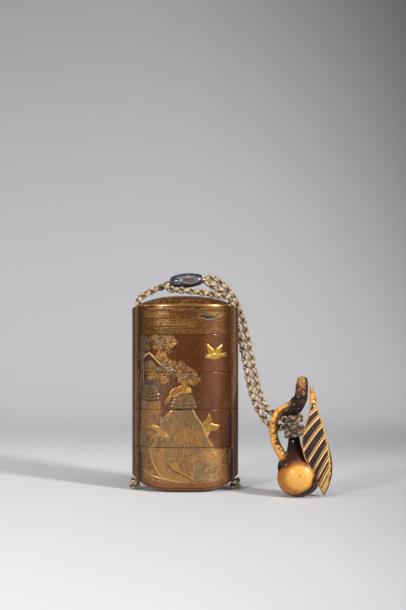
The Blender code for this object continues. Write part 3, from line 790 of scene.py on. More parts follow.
def rick(c, outline, apex, tone, dark, light, seed, lift=0.16):
    """A cone of straw: strokes that fan out from its apex."""
    poly = catmull(outline, 6, closed=True)
    idx = c.pick(poly[:, 0].min(), poly[:, 1].min(), poly[:, 0].max(), poly[:, 1].max())
    if not len(idx):
        return
    d = c.away_poly(idx, poly)
    x, z = c.x[idx] - apex[0], c.z[idx] - apex[1]
    rad, ang = np.hypot(x, z), np.arctan2(x, -z)
    straw = fractal(ang * 88, rad * 0.62, seed, 3)
    thin = fractal(ang * 150, rad * 1.0, seed + 3, 2)
    grit = noise2(c.x[idx] * 3.0, c.z[idx] * 3.0, seed + 11)
    patch = fractal(c.x[idx] * 0.26, c.z[idx] * 0.26, seed + 7, 2)
    tone_now = tone * (0.74 + 0.42 * patch)[:, None]
    body = tone_now + (light - tone_now) * (0.75 * smoothstep(0.54, 0.74, straw))[:, None]
    body = body + (dark - body) * (0.5 * smoothstep(0.46, 0.28, straw))[:, None]
    body = body * (0.80 + 0.40 * grit)[:, None] * np.array([0.87, 0.84, 0.88])
    body = body + (light - body) * (0.35 * smoothstep(0.62, 0.8, thin))[:, None]
    gold_patch = smoothstep(0.52, 0.72, fractal(c.x[idx] * 0.16 + 7, c.z[idx] * 0.16, seed + 9, 2))[:, None]
    body = body * (1 - 0.35 * gold_patch) + rgb(186, 128, 56) * 0.35 * gold_patch
    cover = smoothstep(0.10, -0.10, d)
    c.lay(idx, cover, body, 0.32, 0.36, lift * smoothstep(0.05, -0.8, d) + 0.05 * (straw - 0.5))


def bird(c, body, wings, tail, head, tone, dark, light, scales=0.55):
    tone, light = tone * np.array([0.86, 0.80, 0.92]), light * np.array([0.88, 0.84, 0.95])
    for pts, angle in tail:
        c.shape(pts, tone * 0.82, lift=0.12, rim=light * 0.9, rim_width=0.20, feather=(angle, 0.80, dark, 1.0))
    c.shape(body, tone * 0.92, lift=0.26, round_off=0.9, rim=light, rim_width=0.24)
    poly = catmull(body, 6, closed=True)
    idx = c.pick(poly[:, 0].min(), poly[:, 1].min(), poly[:, 0].max(), poly[:, 1].max())
    if len(idx):
        inside = smoothstep(-0.25, -0.55, c.away_poly(idx, poly))
        u, v = c.x[idx] / 1.0, c.z[idx] / 0.85
        shift = np.where(np.floor(v) % 2 == 0, 0.0, 0.5)
        cell = np.hypot((u + shift) % 1.0 - 0.5, (v % 1.0) - 0.15)
        arc = smoothstep(0.19, 0.07, np.abs(cell - 0.42))
        c.lay(idx, inside * arc * scales, dark, None, None, -0.03)
    for pts, angle in wings:
        c.shape(pts, tone * 0.80, lift=0.18, round_off=0.5, rim=light, rim_width=0.22, feather=(angle, 0.95, dark, 1.0))
    if head:
        (hx, hz, hr), (bx, bz) = head
        ring = [(hx + hr * math.cos(t), hz + hr * 0.9 * math.sin(t)) for t in np.linspace(0, 2 * math.pi, 9)[:-1]]
        c.shape(ring, light * 0.92, lift=0.10, round_off=0.5)
        c.stroke([(hx + (bx - hx) * 0.55, hz + (bz - hz) * 0.55), (bx, bz)], 0.34, light, 0.08)
        c.shape([(hx + (bx - hx) * 0.2 + 0.18 * math.cos(t), hz + 0.22 + 0.18 * math.sin(t)) for t in np.linspace(0, 2 * math.pi, 7)[:-1]],
                INK, lift=0.02, soft=0.1)


def front_picture(c):
    """Autumn field: a maple branch, two straw ricks, four sparrows and sheaves at the foot."""
    x, z = c.x, c.z
    # Denser powder over the lower tiers.
    low = smoothstep(24.0, 6.0, z - 0.0 * x)
    field = smoothstep(0.25, 0.7, fractal(x * 0.14 + 2, z * 0.14, 51, 2))
    amount = np.clip(0.85 * low + 0.0 * field, 0, 0.9) * smoothstep(20.3, 17.0, np.abs(x))
    powder = rgb(150, 112, 72) * (0.80 + 0.40 * fractal(x * 1.2, z * 1.2, 52, 3))[:, None]
    c.col[:] = c.col * (1 - amount[:, None]) + powder * amount[:, None]
    c.metal[:] = np.maximum(c.metal, 0.3 * amount)

    # --- trunk and branches
    bark, bark_light = rgb(92, 66, 44), rgb(192, 164, 134)
    c.shape([(-19.4, 59.4), (-16.4, 61.8), (-14.4, 59.8), (-13.2, 58.2), (-15.6, 57.4), (-18.0, 58.0)], rgb(74, 52, 36), lift=0.0, alpha=0.8, soft=0.5)
    c.stroke([(-20.3, 44.0), (-20.1, 50.0), (-19.4, 55.0), (-19.6, 59.6)], 1.3, bark, 0.12, taper=False)
    c.stroke([(-20.5, 45.0), (-20.4, 50.0), (-19.9, 54.0), (-19.9, 58.8)], 0.34, bark_light, 0.06, broken=0.3, alpha=0.8)
    c.stroke([(-18.9, 47.6), (-18.9, 51.0), (-18.8, 55.0), (-19.2, 59.4)], 0.34, bark_light, 0.06, broken=0.3, alpha=0.8)
    c.stroke([(-20.1, 59.3), (-18.4, 61.0), (-16.2, 62.6)], 0.75, bark_light, 0.14, taper=False)
    c.stroke([(-16.3, 62.5), (-13.6, 60.0), (-10.6, 57.1), (-8.0, 55.3), (-5.4, 53.8), (-3.4, 52.7), (-0.6, 52.2)], 0.75,
             bark_light, 0.16, taper=False)
    c.stroke([(-16.0, 62.1), (-13.4, 59.5), (-10.5, 56.6), (-8.0, 54.8)], 0.3, bark, 0.0, alpha=0.8)
    c.stroke([(-16.2, 62.4), (-16.5, 64.6), (-15.8, 66.4), (-14.6, 68.0)], 0.75, rgb(70, 48, 36), 0.10)
    c.stroke([(-10.4, 57.2), (-8.6, 57.6), (-6.9, 56.4), (-5.0, 55.2), (-3.4, 53.6)], 0.5, bark_light, 0.10)
    c.stroke([(-12.4, 59.0), (-11.6, 60.6), (-10.0, 62.0)], 0.4, bark_light, 0.08, alpha=0.8)
    c.stroke([(-16.8, 58.6), (-15.4, 56.4), (-13.6, 54.6)], 0.35, bark, 0.08, alpha=0.8)
    for px, pz, a, b, tone in ((-17.2, 67.6, 1.7, 1.5, rgb(92, 88, 66)), (-12.4, 67.8, 1.2, 1.0, rgb(110, 90, 84)),
                               (-9.2, 57.3, 1.9, 1.0, rgb(112, 96, 88)), (-1.0, 52.9, 1.5, 1.2, rgb(104, 90, 76)),
                               (-17.6, 64.6, 1.2, 1.4, rgb(60, 46, 40)), (2.2, 51.2, 1.3, 0.8, rgb(100, 86, 58))):
        c.shape([(px + a * math.cos(t), pz + b * math.sin(t)) for t in np.linspace(0, 2 * math.pi, 10)[:-1]], tone,
                lift=0.04, alpha=0.55, soft=0.8)
    muted = ((rgb(120, 82, 40), rgb(170, 130, 72)), (rgb(110, 62, 30), rgb(156, 104, 62)), (rgb(100, 84, 60), rgb(150, 128, 92)))
    rusty = ((rgb(150, 92, 40), rgb(212, 156, 84)), (rgb(146, 84, 40), rgb(200, 140, 80)), (rgb(128, 92, 56), rgb(188, 150, 104)))
    c.foliage([(-19.6, 64.5, 0.9, 5.8)], 26, 61, (0.8, 1.2), muted)
    c.foliage([(-18.0, 66.4, 1.6, 3.2)], 22, 70, (0.8, 1.2), muted)
    c.foliage([(-12.0, 68.0, 2.7, 2.6), (-14.0, 69.0, 1.6, 1.3), (-12.2, 65.6, 1.7, 1.3)], 66, 62, (0.9, 1.35))
    c.foliage([(-7.2, 67.6, 2.6, 2.6), (-5.4, 67.8, 1.7, 1.2), (-7.8, 64.9, 1.5, 1.6)], 58, 63, (0.9, 1.35))
    c.foliage([(-11.0, 61.2, 2.3, 1.9), (-9.4, 59.4, 2.0, 1.5)], 44, 64, (0.85, 1.25))
    c.foliage([(-5.2, 57.9, 2.6, 1.3), (-1.6, 56.6, 2.6, 1.6), (1.4, 55.0, 2.0, 1.3)], 50, 67, (0.8, 1.2), rusty)
    c.foliage([(-16.2, 56.4, 2.0, 2.0), (-14.8, 54.6, 3.0, 1.6)], 46, 65, (0.9, 1.25), rusty)
    c.foliage([(-11.8, 52.8, 4.0, 2.4), (-9.8, 51.0, 1.9, 2.4), (-14.8, 52.2, 2.0, 1.6)], 84, 66, (0.9, 1.35))
    c.foliage([(-4.6, 53.4, 2.2, 1.2)], 18, 69, (0.7, 1.1), muted)
    c.foliage([(2.0, 52.4, 3.4, 2.2), (4.0, 51.0, 2.4, 2.4), (0.6, 50.4, 2.8, 1.4), (-1.6, 52.8, 2.0, 1.4)], 92, 68, (0.9, 1.35))
    c.stroke([(-13.6, 59.9), (-10.6, 57.0), (-8.0, 55.2), (-5.6, 53.9)], 0.45, rgb(196, 172, 146), 0.10, alpha=0.8, broken=0.4)
    for px, pz in ((-9.6, 56.6), (-7.6, 55.7), (-5.4, 54.9), (-1.0, 52.6), (0.6, 51.8)):
        c.shape([(px + 1.0 * math.cos(t), pz + 0.62 * math.sin(t)) for t in np.linspace(0, 2 * math.pi, 8)[:-1]], rgb(132, 118, 112),
                lift=0.10, soft=0.3, rim=rgb(84, 66, 58), rim_width=0.25)

    # --- far rick on the left
    tan, dim, straw_light = rgb(140, 104, 66), rgb(80, 54, 32), rgb(186, 148, 100)
    rick(c, [(-19.2, 42.4), (-20.0, 36.0), (-20.3, 28.0), (-20.3, 18.0), (-12.0, 17.6), (-9.2, 26.0), (-9.8, 33.0), (-10.8, 38.0),
             (-11.9, 42.4)], (-15.2, 62.0), tan, dim, straw_light, 71, 0.10)
    stack_cap(c, -15.6, 41.0, 48.6, 4.1, rgb(112, 84, 60), rgb(60, 42, 30), rgb(160, 124, 86))
    c.shape([(-19.6, 47.4), (-18.8, 49.6), (-15.4, 50.8), (-12.6, 49.8), (-11.2, 47.8), (-13.4, 46.9), (-16.4, 47.6)],
            rgb(92, 84, 80), lift=0.07, round_off=0.9, rim=rgb(132, 116, 104), rim_width=0.35, alpha=0.85,
            feather=(math.radians(80), 0.6, rgb(54, 46, 44), 0.8))

    # --- near rick
    rick(c, [(-4.8, 37.6), (-7.9, 35.2), (-9.8, 32.6), (-11.2, 28.6), (-13.0, 22.0), (-14.6, 15.8), (0.0, 13.6), (14.6, 15.8),
             (12.6, 19.0), (11.2, 21.4), (9.9, 25.0), (8.6, 28.4), (6.9, 31.8), (4.9, 34.6), (3.5, 37.6)], (-0.6, 47.0),
         rgb(138, 108, 72), rgb(90, 62, 38), rgb(184, 150, 104), 81, 0.14)
    c.stroke([(3.4, 37.1), (5.0, 34.3), (7.2, 31.2), (8.8, 28.0), (9.9, 25.0), (11.3, 21.4), (12.8, 18.4)], 0.46,
             rgb(200, 158, 116), 0.10, taper=False)
    c.stroke([(-4.8, 37.2), (-7.9, 35.1), (-9.9, 32.6), (-11.2, 28.9)], 0.40, rgb(176, 138, 98), 0.08, alpha=0.8)
    fan = np.random.default_rng(95)
    for k in range(46):
        t = fan.random()
        x0, z0 = -9.4 - 5.0 * t, 31.4 - 14.0 * t
        size = fan.uniform(2.6, 5.6)
        a = math.radians(fan.uniform(196, 232))
        c.stroke([(x0, z0), (x0 + 0.5 * size * math.cos(a), z0 + 0.5 * size * math.sin(a) + 0.25),
                  (x0 + size * math.cos(a), z0 + size * math.sin(a))], 0.22,
                 (rgb(206, 170, 122), rgb(112, 78, 50), rgb(176, 132, 84))[k % 3], 0.05, alpha=0.75)
    for k in range(64):
        t = fan.random()
        x0, z0 = 9.4 + 4.4 * t, 26.0 - 13.0 * t
        size = fan.uniform(2.2, 5.4)
        a = math.radians(fan.uniform(-64, -24))
        c.stroke([(x0, z0), (min(x0 + size * math.cos(a), 19.6), z0 + size * math.sin(a))], 0.20,
                 (rgb(208, 164, 112), rgb(110, 76, 50), rgb(180, 136, 88))[k % 3], 0.05, alpha=0.75)
    stack_cap(c, -0.6, 37.4, 44.9, 5.3, rgb(124, 96, 68), rgb(70, 48, 30), rgb(178, 142, 104))
    # Painted shadow: a dark line under the brim of the near rick's cap, along the seam.
    c.stroke([(-5.4, 37.35), (-2.6, 37.0), (0.0, 37.3)], 0.5, rgb(48, 28, 12), 0.0, alpha=0.9)

    # --- sparrows
    feather_dark = rgb(104, 62, 22)
    bird(c, [(9.9, 60.8), (11.0, 62.0), (13.2, 62.6), (15.6, 62.5), (17.4, 61.9), (16.0, 60.6), (13.8, 59.7), (11.6, 60.1)],
         [([(10.0, 66.7), (10.3, 64.4), (10.9, 62.4), (13.2, 62.2), (13.2, 63.8), (11.6, 65.2)], math.radians(118)),
          ([(17.0, 66.5), (15.6, 65.4), (13.9, 64.0), (13.6, 62.3), (15.8, 62.2), (16.3, 64.4)], math.radians(62))],
         [([(16.8, 62.2), (18.7, 62.6), (18.6, 62.1), (17.2, 61.5)], 0.1), ([(16.8, 61.8), (18.8, 61.2), (18.4, 60.8), (16.8, 61.0)], -0.2)],
         ((10.6, 61.2, 0.95), (9.1, 60.4)), rgb(226, 178, 66), feather_dark, rgb(248, 216, 118))
    bird(c, [(-6.9, 43.0), (-6.6, 45.2), (-5.2, 46.6), (-3.4, 47.2), (-2.0, 48.1), (-0.4, 48.3), (1.4, 47.6), (2.6, 46.6), (2.9, 45.3),
             (1.2, 44.6), (-0.6, 44.9), (-2.6, 44.2), (-4.6, 43.0)],
         [([(-6.9, 43.6), (-5.4, 46.4), (-2.8, 47.2), (-0.9, 46.6), (-0.8, 45.4), (-3.2, 44.3), (-5.4, 43.2)], math.radians(28))],
         [([(-8.9, 40.0), (-7.7, 40.2), (-6.0, 42.8), (-6.6, 43.9), (-7.9, 42.2)], math.radians(58))],
         ((1.5, 46.0, 1.05), (3.2, 44.9)), rgb(206, 150, 62), rgb(104, 62, 24), rgb(232, 186, 104), 0.85)
    bird(c, [(-12.6, 28.6), (-11.2, 28.8), (-9.4, 27.4), (-7.6, 26.0), (-7.5, 25.0), (-9.0, 24.9), (-10.8, 25.8), (-12.2, 27.2)],
         [([(-15.0, 30.9), (-12.6, 29.6), (-10.2, 28.2), (-8.8, 26.6), (-10.2, 27.0), (-12.8, 28.6)], math.radians(-38)),
          ([(-17.3, 29.4), (-15.0, 28.6), (-12.6, 27.6), (-10.6, 25.6), (-9.8, 25.2), (-11.4, 27.6), (-14.0, 29.4)], math.radians(-30))],
         [([(-16.6, 30.5), (-14.4, 29.9), (-12.8, 28.6), (-14.8, 28.9)], math.radians(-30))],
         ((-8.1, 25.7, 0.85), (-6.9, 25.0)), rgb(206, 152, 64), rgb(104, 62, 26), rgb(236, 190, 108))
    bird(c, [(8.7, 30.0), (10.6, 30.6), (11.6, 28.8), (11.2, 26.8), (10.3, 25.4), (9.2, 25.8), (9.0, 27.6)],
         [([(10.9, 35.3), (9.9, 33.2), (8.3, 31.0), (8.4, 29.2), (10.4, 28.8), (11.7, 30.6), (11.8, 33.0)], math.radians(98)),
          ([(15.9, 29.9), (13.6, 30.4), (11.8, 31.0), (11.0, 29.2), (12.4, 27.8), (14.4, 28.0)], math.radians(4))],
         [([(8.2, 30.9), (8.9, 32.0), (9.6, 30.8), (8.8, 29.8)], math.radians(70))],
         ((10.1, 26.3, 0.8), (9.5, 24.9)), rgb(210, 158, 66), rgb(112, 68, 28), rgb(238, 196, 114))

    # --- dense short grass that covers the foot
    idx = c.pick(-20.0, 1.0, 20.0, 24.0)
    u, v = c.x[idx], c.z[idx]
    weave = fractal((u * 0.7 + v) * 2.6, (u - v) * 0.6, 84, 2)
    cross = fractal((u - v * 0.8) * 2.6, (u + v) * 0.6, 86, 2)
    spark = noise2(u * 3.4, v * 3.4, 88)
    level = smoothstep(23.5, 17.0, v + 2.5 * np.abs(u) / 20) * smoothstep(20.2, 18.0, np.abs(u))
    c.lay(idx, level * 0.42 * smoothstep(0.52, 0.66, np.maximum(weave, cross)), rgb(206, 158, 106), 0.3, 0.34, 0.05)
    c.lay(idx, level * 0.34 * smoothstep(0.46, 0.34, np.minimum(weave, cross)), rgb(94, 60, 38), 0.3, 0.34)
    c.lay(idx, level * 0.45 * smoothstep(0.78, 0.9, spark), rgb(226, 184, 124), 0.3, 0.34, 0.04)
    cool = smoothstep(0.5, 0.7, fractal(u * 0.22, v * 0.22, 89, 2)) * smoothstep(-2, 8, u)
    c.lay(idx, level * 0.35 * cool, rgb(126, 112, 104), 0.3, 0.34)

    # --- sheaves at the foot
    pale, gold, olive, dark = rgb(186, 146, 96), rgb(196, 150, 78), rgb(140, 110, 50), rgb(74, 44, 24)
    for k in range(17):
        t = k / 16
        start = (-15.6 + 5.0 * t, 19.6 - 2.2 * t)
        mid = (-13.6 + 5.4 * t, 10.4 + 0.6 * t - 0.2)
        low = (-9.6 + 6.4 * t, 6.6 + 1.0 * t)
        end = (-1.0 + 4.8 * t, 4.6 + 1.3 * t)
        tone = (pale, gold, olive, rgb(166, 120, 84))[k % 4]
        c.stroke([start, mid, low, end], 0.40, tone, 0.06, alpha=0.6, broken=0.4)
    c.shape([(-14.6, 13.5), (-13.0, 9.8), (-10.4, 6.9), (-5.8, 5.5), (-0.8, 5.1), (3.4, 5.2), (-1.4, 6.2), (-6.4, 8.2), (-9.8, 11.6), (-11.2, 15.0),
             (-12.6, 17.5)], rgb(156, 122, 64), lift=0.10, alpha=0.55, soft=0.8, round_off=1.4)
    c.stroke([(-15.4, 19.0), (-15.0, 14.8), (-13.3, 10.8), (-11.0, 7.4), (-8.0, 6.0), (-3.0, 5.0), (2.2, 4.9)], 0.55, rgb(206, 164, 106), 0.14)
    c.stroke([(-14.9, 13.0), (-13.4, 9.8), (-11.0, 6.7), (-6.2, 5.1), (-0.8, 4.6)], 0.38, dark, 0.0, alpha=0.85)
    c.stroke([(-19.4, 10.0), (-15.6, 7.7), (-12.0, 6.5), (-7.4, 5.5), (-2.0, 4.4)], 0.50, rgb(204, 158, 94), 0.12)
    c.stroke([(-19.6, 8.9), (-15.6, 6.9), (-12.0, 5.8), (-7.6, 4.8)], 0.30, dark, 0.0, alpha=0.7)
    c.stroke([(-8.0, 13.2), (-6.6, 11.0), (-4.4, 9.4), (-0.8, 7.8), (2.2, 5.9), (4.4, 4.8)], 0.36, dark, 0.0, alpha=0.85)
    c.stroke([(-7.4, 13.6), (-5.9, 11.6), (-3.6, 10.0), (0.4, 8.2), (3.2, 6.4), (5.0, 5.2)], 0.40, gold, 0.10)
    c.shape([(-6.2, 12.6), (-4.4, 13.3), (-2.6, 12.2), (-2.6, 10.6), (-4.4, 10.2), (-5.8, 11.2)], rgb(190, 148, 62), lift=0.12,
            soft=0.5, alpha=0.8, feather=(math.radians(70), 0.6, olive, 0.6))
    c.stroke([(-2.4, 12.9), (-1.6, 11.6), (-0.8, 10.8)], 0.32, dark, 0.0)
    rng = np.random.default_rng(77)
    for k in range(120):
        a = math.radians(rng.uniform(4, 84))
        r0, r1 = rng.uniform(1.0, 6.0), rng.uniform(8.0, 16.5)
        ox, oz = 3.4, 4.4
        tone = (rgb(146, 132, 120), rgb(176, 152, 124), rgb(200, 152, 98), rgb(112, 84, 66), rgb(88, 58, 42))[int(rng.integers(5))]
        bend = rng.uniform(-0.5, 0.2)
        p = [(ox + r * math.cos(a + bend * (r - r0) / 14), oz + r * 0.86 * math.sin(a + bend * (r - r0) / 14))
             for r in np.linspace(r0, r1, 4)]
        if p[-1][0] > 19.5:
            continue
        c.stroke(p, rng.uniform(0.18, 0.30), tone, 0.05, alpha=0.7)
    for k in range(26):
        x0 = 7.6 + 0.36 * k
        c.stroke([(x0, 19.3), (x0 + 1.6 - 0.05 * k, 16.0), (x0 + 2.4 - 0.12 * k, 12.6)], 0.17, rgb(204, 158, 100), 0.05, alpha=0.75, broken=0.5)
        c.stroke([(x0 + 2.2, 19.3), (x0 + 0.6, 16.2), (x0 - 0.6, 13.0)], 0.17, rgb(196, 148, 92), 0.05, alpha=0.7, broken=0.5)
    for k in range(22):
        x0 = -7.5 + 0.75 * k
        c.stroke([(x0, 19.0), (x0 * 0.92 + 0.3, 14.5), (x0 * 0.8 + 0.8, 10.0 + 0.05 * x0)], 0.22,
                 (rgb(120, 84, 52), rgb(178, 134, 88))[k % 2], 0.04, alpha=0.6, broken=0.4)
    for k in range(30):
        x0 = -18.5 + 0.42 * k
        z0 = 5.4 + 0.15 * abs(x0 + 8)
        c.stroke([(x0, z0 - 1.0), (x0 + 0.5, z0 + 0.6), (x0 + 0.7, z0 + 1.8)], 0.18, (rgb(204, 160, 96), rgb(130, 90, 50))[k % 2], 0.04,
                 alpha=0.55)
    # Rubbed copper rim and a few dark flecks on it.
    idx = c.pick(-20.6, 0.0, 20.6, 7.5)
    foot = base_rise(c.x[idx]) + 1.9
    band = smoothstep(2.9, 1.9, c.z[idx] - foot)
    tone = rgb(134, 80, 46) * (0.66 + 0.6 * fractal(c.x[idx] * 0.5, c.z[idx] * 1.2, 91, 3))[:, None]
    c.lay(idx, 0.85 * band * smoothstep(20.6, 18.2, np.abs(c.x[idx])), tone, 0.3, 0.34)
    c.stroke([(0.6, 3.2), (3.0, 3.1), (5.4, 3.2)], 0.5, rgb(96, 50, 26), 0.0, alpha=0.7)
    for k in range(9):
        c.shape([(6.6 + 0.75 * k + dx, 3.9 + 0.25 * math.sin(2.1 * k) + dz) for dx, dz in ((-0.22, 0), (0, 0.18), (0.22, 0), (0, -0.18))],
                (rgb(70, 50, 26), rgb(196, 140, 80))[k % 2], lift=0.03)
    # Painted shade: dark red on the right of the second tier, where the side turns away.
    idx = c.pick(16.6, 19.0, 20.8, 36.0)
    c.lay(idx, 0.45 * smoothstep(16.6, 18.6, c.x[idx]) * smoothstep(19.0, 22.0, c.z[idx]) * smoothstep(36.0, 31.0, c.z[idx]),
          rgb(74, 26, 14))


def back_picture(c):
    """The same field seen from behind, kept plainer: a branch, one rick, one sparrow."""
    x, z = c.x, c.z
    amount = 0.7 * smoothstep(20.0, 5.0, z) * smoothstep(20.3, 17.0, np.abs(x))
    c.col[:] = c.col * (1 - amount[:, None]) + rgb(142, 104, 66) * amount[:, None]
    c.stroke([(20.0, 60.0), (15.0, 62.5), (9.0, 61.0), (3.0, 57.0)], 0.9, rgb(150, 120, 88), 0.14, taper=False)
    c.foliage([(12.0, 64.0, 5.0, 3.0), (6.0, 60.0, 4.0, 2.4), (15.5, 60.0, 3.0, 2.4)], 70, 161, (0.8, 1.3))
    bird(c, [(-9.9, 50.8), (-8.0, 52.4), (-5.0, 52.6), (-3.0, 51.8), (-5.0, 50.0), (-8.0, 49.8)],
         [([(-9.6, 56.6), (-9.2, 53.0), (-6.6, 52.2), (-6.8, 54.4)], math.radians(110)),
          ([(-3.0, 56.2), (-6.0, 54.2), (-6.2, 52.2), (-4.0, 52.2)], math.radians(60))],
         [([(-3.4, 52.2), (-1.6, 52.4), (-2.0, 51.2), (-3.4, 51.2)], 0.1)],
         ((-9.4, 51.2, 0.9), (-10.8, 50.6)), rgb(216, 168, 70), rgb(122, 78, 30), rgb(240, 204, 118))
    rick(c, [(-4.0, 33.0), (-8.0, 27.0), (-12.0, 18.0), (-14.0, 8.0), (6.0, 8.0), (4.4, 20.0), (2.0, 28.0), (-0.6, 33.0)], (-2.4, 46.0),
         rgb(136, 104, 68), rgb(88, 60, 36), rgb(180, 144, 98), 181, 0.14)
    stack_cap(c, -2.3, 33.0, 39.6, 4.2, rgb(122, 92, 64), rgb(70, 48, 30), rgb(172, 136, 98))
    for k in range(26):
        x0 = -18.0 + 1.4 * k
        c.stroke([(x0, 4.5 + base_rise(np.array(x0)) * 0.8), (x0 + 1.2, 8.5), (x0 + 1.8, 12.5 + 1.5 * math.sin(k))], 0.34,
                 (rgb(196, 154, 96), rgb(150, 132, 116), rgb(110, 76, 46))[k % 3], 0.07)


def back_lid(c):
    x, z = c.x, c.z
    c.col[:] = rgb(134, 86, 40) * (0.80 + 0.42 * fractal(x * 0.22, z * 1.9, 131, 3))[:, None]
    c.metal[:] = 0.35
    c.rough[:] = 0.3
    mist(c, -18.0, 78.0, 2.0, 81.6, rgb(206, 156, 86), rgb(112, 74, 34), 142, 1.0)
    mist(c, -4.0, 74.2, 18.0, 77.8, rgb(196, 150, 84), rgb(104, 68, 36), 145, 1.0)


# ------------------------------------------------------------------ shells
ON_PANEL = SHARE > PANEL_START - 1e-6
RUNNER_MASK = smoothstep(20.95, 21.25, np.abs(XY[:, 0])) * (SHARE < PANEL_START * 0.93)
FRONT = SY < 0
SINK = 0.20
PITCH_UP = 0.18

lacquer = painted("gold_lacquer", coat=0.36, coat_rough=0.04, spec=0.25, speck=0.14, speck_scale=2300.0,
                  speck_colour=tuple(rgb(214, 158, 84)), bump=0.06, bump_scale=1900.0)


def runner_paint(c, idx, sx):
    """The side runners: brown-gold, with vertical light and dark streaks as painted highlight and shade."""
    z, x = c.z[idx], np.abs(c.x[idx])
    tone = fractal(z * 0.10 + 3 * sx, x * 2.2, 201, 3)[:, None]
    side = rgb(98, 62, 34) * (0.72 + 0.5 * tone)
    dark = rgb(58, 30, 15)
    mix = smoothstep(0.40, 0.65, fractal(z * 0.20, x * 2.0 + sx, 207, 3))[:, None]
    c.lay(idx, np.ones(len(idx)), side * (1 - 0.5 * mix) + dark * 0.5 * mix, 0.3, 0.33)


def wall(z_low, z_high, paint_front, paint_back, curve_low=None, round_top=0.10, round_low=0.10):
    """Rows of the outer wall from z_low to z_high with painted, raised decoration."""
    rows = max(4, int((z_high - z_low) / PITCH_UP))
    share = np.linspace(0, 1, rows + 1)
    ends = np.array([0.0, 0.3, 0.7])
    edge_low = np.array([math.sin(math.pi / 2 * e) for e in ends])
    levels, inset = [], []
    for k, e in enumerate(ends):
        a = math.pi / 2 * e
        levels.append(("low", round_low * (1 - math.cos(a)) if False else round_low * math.sin(a)))
        inset.append(round_low * (1 - math.sin(a)) if False else round_low * (1 - math.cos(math.pi / 2 - a)))
    base = np.zeros(COUNT) if curve_low is None else curve_low
    zs, ins = [], []
    for (kind, dz), i in zip(levels, inset):
        zs.append(z_low + base + dz)
        ins.append(i)
    for t in share:
        zs.append((z_low + base + round_low) * (1 - t) + (z_high - round_top) * t)
        ins.append(0.0)
    for (kind, dz), i in zip(levels[::-1], inset[::-1]):
        zs.append(np.full(COUNT, z_high) - dz)
        ins.append(i)
    Z = np.array(zs)
    inset_rows = np.array(ins)
    X = np.repeat(XY[None, :, 0], len(Z), 0)
    shape = Z.shape
    col = np.zeros(shape + (3,))
    metal, rough, lift = np.zeros(shape), np.zeros(shape), np.zeros(shape)
    for mask, painter, mirror in ((FRONT, paint_front, 1.0), (~FRONT, paint_back, -1.0)):
        c = Canvas((X[:, mask] * mirror).ravel(), Z[:, mask].ravel())
        painter(c)
        c.col *= np.array([0.72, 0.67, 0.52]) * (0.61 if z_low > 70 else 1.0)
        on_runner = np.repeat(RUNNER_MASK[None, mask], len(Z), 0).ravel()
        idx = np.nonzero(on_runner > 0.5)[0]
        if len(idx):
            runner_paint(c, idx, 1.0)
        if mirror > 0 and z_low < 10:
            # Painted shade: a dark slot for the gap between the panel and the right runner on the bottom tier, with a
            # light arched line at its top.
            c.shape([(20.75, 4.5), (20.75, 18.2), (21.25, 19.2), (21.75, 18.4), (21.75, 4.5)], rgb(16, 9, 5), lift=0.0, soft=0.25, metal=0.1, curve=False)
            c.stroke([(20.25, 13.0), (20.4, 17.6), (20.95, 19.5), (21.9, 20.0)], 0.34, rgb(176, 138, 100), 0.0, taper=False, metal=0.2)
        n = int(mask.sum())
        col[:, mask] = c.col.reshape(len(Z), n, 3)
        metal[:, mask] = c.metal.reshape(len(Z), n)
        rough[:, mask] = c.rough.reshape(len(Z), n)
        lift[:, mask] = c.h.reshape(len(Z), n)
    # Painted shade darkens the groove beside each runner, and the edges of each tier are rubbed a little.
    groove = np.exp(-((np.abs(XY[:, 0]) - GROOVE_X) / 0.30) ** 2) * (~ON_PANEL)
    col = col * (1 - 0.75 * groove[None, :, None])
    lift = np.clip(lift, -0.08, SINK - 0.01) * (1 - RUNNER_MASK)[None, :] * (1 - groove[None, :])
    fade = 1 - inset_rows / max(inset_rows.max(), 1e-6)
    out = (lift * fade[:, None] - SINK - inset_rows[:, None])
    P = np.stack([XY[None, :, 0] + NORMAL[None, :, 0] * out, XY[None, :, 1] + NORMAL[None, :, 1] * out, Z], 2)
    return P, col, metal, rough


def plain(xy, z, colour=(96, 52, 22), metal=0.35, rough=0.34, seed=3):
    n = len(xy)
    z = np.broadcast_to(z, (n,))
    P = np.column_stack([xy, z])[None]
    tone = fractal(xy[:, 0] * 1.4, xy[:, 1] * 1.4 + z * 0.7, seed, 3)
    col = (rgb(*colour) * (0.75 + 0.5 * tone)[:, None])[None]
    return P, col, np.full((1, n), metal), np.full((1, n), rough)


def ramp(a, b, steps):
    """Plain rings between two rings, so that corners keep their shading."""
    pa, pb = a[0][0], b[0][0]
    out = []
    for t in np.linspace(0, 1, steps + 2)[1:-1]:
        out.append(((pa * (1 - t) + pb * t)[None], (a[1] * (1 - t) + b[1] * t), a[2], a[3]))
    return out


def crease(a, b):
    """Two extra rings close to the ends of a flat, to keep its corners crisp; the first is painted at half colour, as
    painted shade in the corner.
    """
    pa, pb = a[0][-1], b[0][0]
    gap = np.linalg.norm(pa - pb, axis=1)[:, None]
    step = np.minimum(0.12, 0.3 * gap) / np.maximum(gap, 1e-6)
    first = pa + (pb - pa) * step
    last = pb + (pa - pb) * step
    corner_shade = a[1][-1:] * 0.5
    return [(first[None], corner_shade, a[2][-1:], a[3][-1:]), (last[None], b[1][:1], b[2][:1], b[3][:1])]


